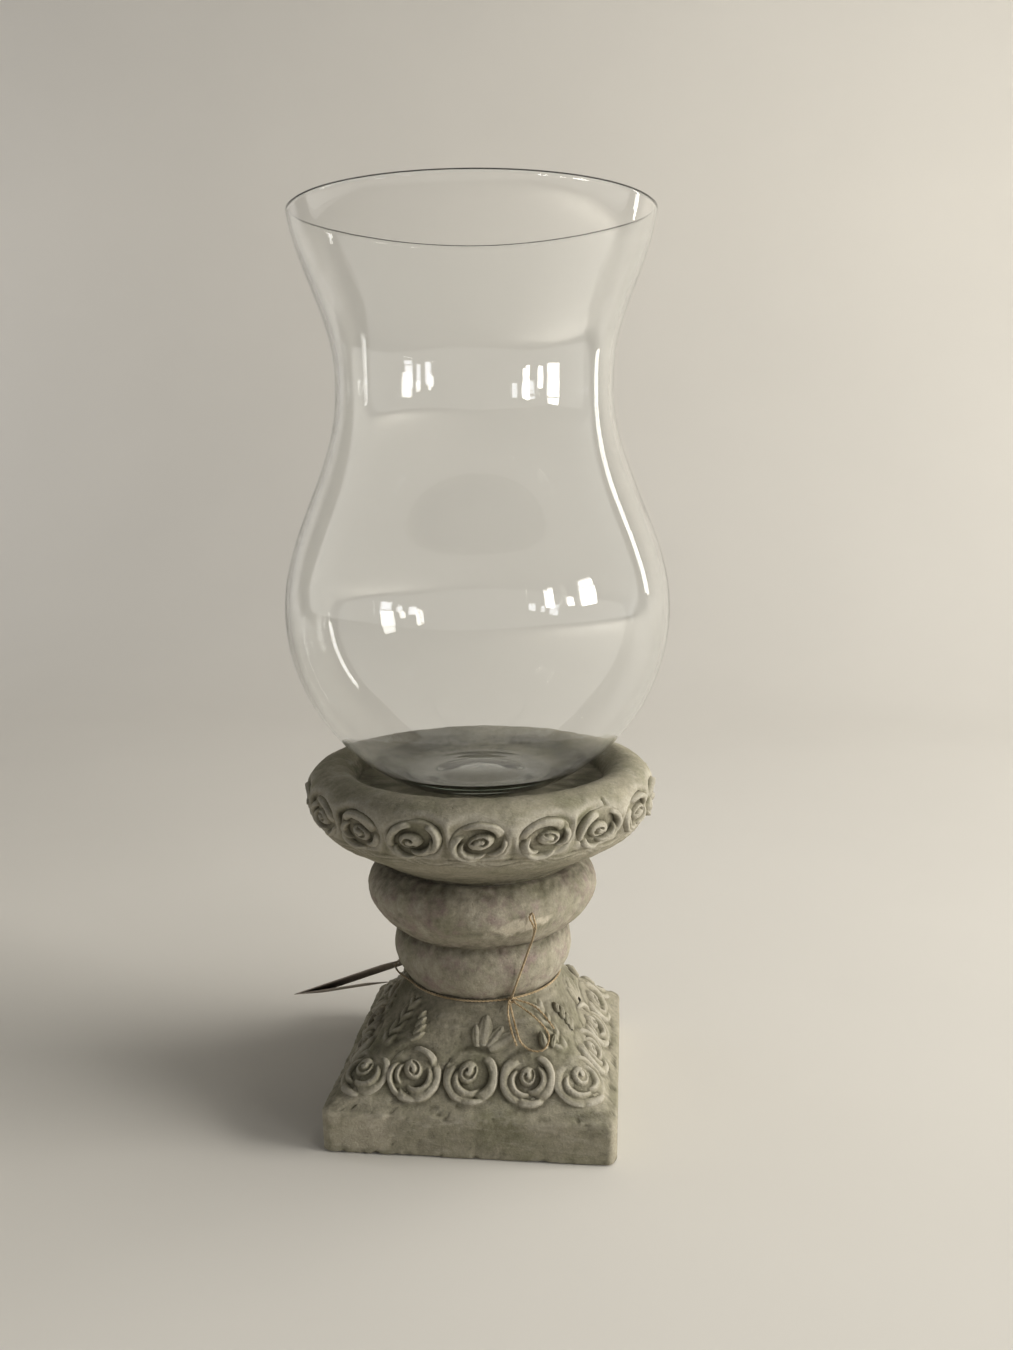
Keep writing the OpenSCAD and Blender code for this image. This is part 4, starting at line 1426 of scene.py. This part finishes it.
def matt_paint(name, code):
    """Matt wall paint: no gloss, with a faint drift of tone over about 0.3 m."""
    material, tree = new_material(name)
    place = add(tree, "ShaderNodeTexCoord").outputs["Object"]
    mottle = add(tree, "ShaderNodeTexNoise", {"Vector": place, "Scale": 3, "Detail": 3}).outputs["Fac"]
    tone = add(tree, "ShaderNodeMapRange", {"Value": mottle, 1: 0.3, 2: 0.7, 3: 0.985, 4: 1.015})
    toned = {0: linear(code)[:3], "Scale": tone.outputs[0]}
    shade = add(tree, "ShaderNodeVectorMath", toned, operation="SCALE")
    skin = add(tree, "ShaderNodeBsdfPrincipled", {"Base Color": shade.outputs[0], "Roughness": 0.9})
    add(tree, "ShaderNodeOutputMaterial", {"Surface": skin.outputs[0]})
    return material


def set_camera():
    """The camera, at about three quarters of the lantern's height and looking down a little."""
    data = bpy.data.cameras.new("camera")
    data.lens = CAMERA_LENS
    data.clip_start, data.clip_end = 0.01, 50
    camera = placed("camera", data)
    look = Vector((*CAMERA_WAY, -math.tan(math.radians(CAMERA_DIP)))).normalized()
    side = look.cross(UP).normalized()
    upright = Matrix((side, side.cross(look), -look)).transposed()
    turn = upright @ Matrix.Rotation(math.radians(CAMERA_ROLL), 3, "Z")
    camera.matrix_world = Matrix.Translation(CAMERA_PLACE) @ turn.to_4x4()
    bpy.context.scene.camera = camera


def backdrop():
    """A floor that sweeps up into a wall well behind the lantern."""
    sweep = np.linspace(0.1, math.pi / 2, 16)
    rows = [(FLOOR_FRONT, 0.0), (SWEEP_Y, 0.0)]
    rows += [(SWEEP_Y + SWEEP_R * math.sin(a), SWEEP_R - SWEEP_R * math.cos(a)) for a in sweep]
    rows += [(SWEEP_Y + SWEEP_R, WALL_TOP)]
    points = [(x, y, z) for y, z in rows for x in FLOOR_SIDES]
    faces = [(2 * i, 2 * i + 1, 2 * i + 3, 2 * i + 2) for i in range(len(rows) - 1)]
    obj = mesh_object("backdrop", points, faces)
    obj.data.materials.append(finish("Pale matt paint", matt_paint, colours().wall))


def lamp(name, place, target, width, watts, colour, height=None):
    """A flat lamp that faces a point. It is square where it has no height."""
    data = bpy.data.lights.new(name, "AREA")
    data.shape = "RECTANGLE"
    data.size, data.size_y = width, height or width
    data.energy = watts
    data.color = linear(colour)[:3]
    obj = placed(name, data)
    obj.location = place
    obj.rotation_euler = (Vector(target) - Vector(place)).to_track_quat("-Z", "Y").to_euler()
    return obj


def window(name, bearing, distance, width, height, low, brightness, colour, panes):
    """A window facing the lantern, its bearing from -Y towards +X, its sill at a height.
    Brightness is in watts per square metre."""
    angle = math.radians(bearing)
    middle = Vector((math.sin(angle), -math.cos(angle), 0)) * distance
    side = Vector((math.cos(angle), math.sin(angle), 0))
    for k, (left, right, bottom, top) in enumerate(panes):
        wide, tall = (right - left) * width, (top - bottom) * height
        place = middle + side * ((left + right - 1) * width / 2) + UP * (low + height * (bottom + top) / 2)
        lamp(f"{name} pane {k}", place, (0, 0, 0.3), wide, brightness * wide * tall, colour, tall)


def room_light():
    """An even pale world. What glass reflects behind the camera is a little darker, as a room is."""
    world = bpy.data.worlds.new("room")
    world.use_nodes = True
    bpy.context.scene.world = world
    tree = world.node_tree
    tree.nodes.clear()
    way = add(tree, "ShaderNodeTexCoord").outputs["Generated"]
    depth = add(tree, "ShaderNodeSeparateXYZ", {0: way}).outputs["Y"]
    share = add(tree, "ShaderNodeMapRange", {"Value": depth, 1: -0.7, 2: 0.6, 3: 0.0, 4: 1.0})
    ends = {0: share.outputs[0], 6: linear(ROOM_NEAR), 7: linear(ROOM_FAR)}
    shade = add(tree, "ShaderNodeMix", ends, data_type="RGBA")
    rays = add(tree, "ShaderNodeLightPath").outputs
    either = {0: rays["Is Glossy Ray"], 1: rays["Is Transmission Ray"]}
    clear = add(tree, "ShaderNodeMath", either, operation="MAXIMUM")
    either = {0: rays["Is Camera Ray"], 1: clear.outputs[0]}
    seen = add(tree, "ShaderNodeMath", either, operation="MAXIMUM")
    even = add(tree, "ShaderNodeBackground", {"Color": linear(WORLD_TONE), "Strength": WORLD_FILL})
    room = add(tree, "ShaderNodeBackground", {"Color": shade.outputs[2], "Strength": ROOM_STRENGTH})
    mixed = add(tree, "ShaderNodeMixShader", {0: seen.outputs[0], 1: even.outputs[0], 2: room.outputs[0]})
    add(tree, "ShaderNodeOutputWorld", {"Surface": mixed.outputs[0]})


# ---------------------------------------------------------------- operators


class LANTERN_OT_stage(bpy.types.Operator):
    """Camera, pale floor and backdrop, and soft light from two windows"""

    bl_idname = "lantern.stage"
    bl_label = "Set the stage"

    def execute(self, context):
        set_camera()
        backdrop()
        room_light()
        window(
            "right window", bearing=62, distance=2.4, width=1.4, height=0.5, low=0.475,
            brightness=74, colour="#fffdf8", panes=RIGHT_PANES,
        )
        window(
            "left window", bearing=-38, distance=2.6, width=1.05, height=0.3, low=0.39,
            brightness=21, colour="#f8faff", panes=LEFT_PANES,
        )
        # These light the stone and the wall, and the glass doesn't show them.
        soft = (
            lamp("side light", (2.5, -0.1, 1.0), (0, -0.45, 0.2), 1.1, 60, "#fffcf6", height=0.8),
            lamp("far wall light", (-2.2, 0.8, 0.7), (-0.5, 1.7, 0.5), 0.9, 8, "#fbfbff"),
            lamp("ceiling", (0.7, 0.0, 1.8), (0.6, 0.2, 0), 0.9, 14, "#fffdf8"),
        )
        for light in soft:
            light.visible_glossy = light.visible_transmission = False
        lamp("far window", (1.95, 1.3, 0.85), (0, 0, 0.35), 0.12, 2.8, "#fffdf8", height=1.1)
        context.scene.view_settings.view_transform = "Standard"
        return {"FINISHED"}


class LANTERN_OT_twine(bpy.types.Operator):
    """Twine band, knot, bow loops and tails"""

    bl_idname = "lantern.twine"
    bl_label = "Tie the twine"

    def execute(self, context):
        for name, node, route, closed in (
            ("twine_round_neck", "twine_band", band_route(), True),
            ("bow_upper_loop", "bow_loop_up", smooth_route(UP_LOOP), False),
            ("bow_lower_loop", "bow_loop_down", smooth_route(DOWN_LOOP), False),
            ("bow_left_end", "bow_tail_left", smooth_route(LEFT_TAIL), False),
            ("bow_right_end", "bow_tail_right", smooth_route(RIGHT_TAIL), False),
            ("bow_knot", "twine_knot", knot_route(), True),
        ):
            piece = settle(twine_piece(name, route, closed), jute_twine(), "twine", node)
        return {"FINISHED"}


class LANTERN_OT_plinth(bpy.types.Operator):
    """The square plinth"""

    bl_idname = "lantern.plinth"
    bl_label = "Cast the plinth"

    def execute(self, context):
        settle(plinth_body(), plinth_stone(), "cast_stone", "plinth")
        return {"FINISHED"}


class LANTERN_OT_plinth_carving(bpy.types.Operator):
    """Roses and leaves on the plinth's four faces"""

    bl_idname = "lantern.plinth_carving"
    bl_label = "Carve the plinth"

    def execute(self, context):
        settle(plinth_roses(), plinth_stone(), "cast_stone")
        settle(plinth_leaves(), plinth_stone(), "cast_stone")
        return {"FINISHED"}


class LANTERN_OT_baluster(bpy.types.Operator):
    """The two turned rings and the beds of mortar over and under them"""

    bl_idname = "lantern.baluster"
    bl_label = "Turn the baluster"

    def execute(self, context):
        settle(baluster_body(), ring_stone(), "cast_stone", "baluster")
        mortar = finish("Rough lime mortar", cast_stone, colours().mortar, rough=2.0)
        lower = mortar_bed("lower_mortar", 40.4, PLINTH_TOP, BALUSTER_Z, 61)
        settle(lower, mortar, "mortar", "neck_mortar")
        upper = mortar_bed("upper_mortar", 50.4, BALUSTER_TOP, DISH_Z, 63)
        settle(upper, mortar, "mortar", "dish_mortar")
        return {"FINISHED"}


class LANTERN_OT_dish(bpy.types.Operator):
    """The dish and its wreath of roses"""

    bl_idname = "lantern.dish"
    bl_label = "Cast the dish"

    def execute(self, context):
        settle(dish_body(), plinth_stone(), "cast_stone", "dish")
        settle(rim_roses(), plinth_stone(), "cast_stone")
        return {"FINISHED"}


class LANTERN_OT_glass(bpy.types.Operator):
    """The blown-glass chimney"""

    bl_idname = "lantern.glass"
    bl_label = "Blow the glass"

    def execute(self, context):
        settle(chimney(), clear_glass(), "blown_glass", "glass_chimney", body="chimney")
        return {"FINISHED"}


class LANTERN_OT_card(bpy.types.Operator):
    """The blank folded card on the band"""

    bl_idname = "lantern.card"
    bl_label = "Hang the card"

    def execute(self, context):
        card = finish("Uncoated grey-beige card", uncoated_card)
        settle(folded_card(), card, "card", "hang_tag", body="tag")
        return {"FINISHED"}


STEPS = (
    LANTERN_OT_stage,
    LANTERN_OT_twine,
    LANTERN_OT_plinth,
    LANTERN_OT_plinth_carving,
    LANTERN_OT_baluster,
    LANTERN_OT_dish,
    LANTERN_OT_glass,
    LANTERN_OT_card,
)


class LANTERN_PT_panel(bpy.types.Panel):
    """Sizes, colours and the steps that build the lantern"""

    bl_idname = "LANTERN_PT_panel"
    bl_label = "Lantern"
    bl_space_type = "VIEW_3D"
    bl_region_type = "UI"
    bl_category = "Lantern"

    def draw(self, context):
        for group in (context.scene.lantern_sizes, context.scene.lantern_colours):
            for key in group.__annotations__:
                self.layout.prop(group, key)
        for step in STEPS:
            self.layout.operator(step.bl_idname)


CLASSES = (LanternSizes, LanternColours, *STEPS, LANTERN_PT_panel)


def register():
    for kind in CLASSES:
        bpy.utils.register_class(kind)
    bpy.types.Scene.lantern_sizes = PointerProperty(type=LanternSizes)
    bpy.types.Scene.lantern_colours = PointerProperty(type=LanternColours)


def unregister():
    del bpy.types.Scene.lantern_colours
    del bpy.types.Scene.lantern_sizes
    for kind in reversed(CLASSES):
        bpy.utils.unregister_class(kind)


def main():
    register()
    for step in STEPS:
        group, name = step.bl_idname.split(".")
        getattr(getattr(bpy.ops, group), name)()


if __name__ == "__main__":
    main()
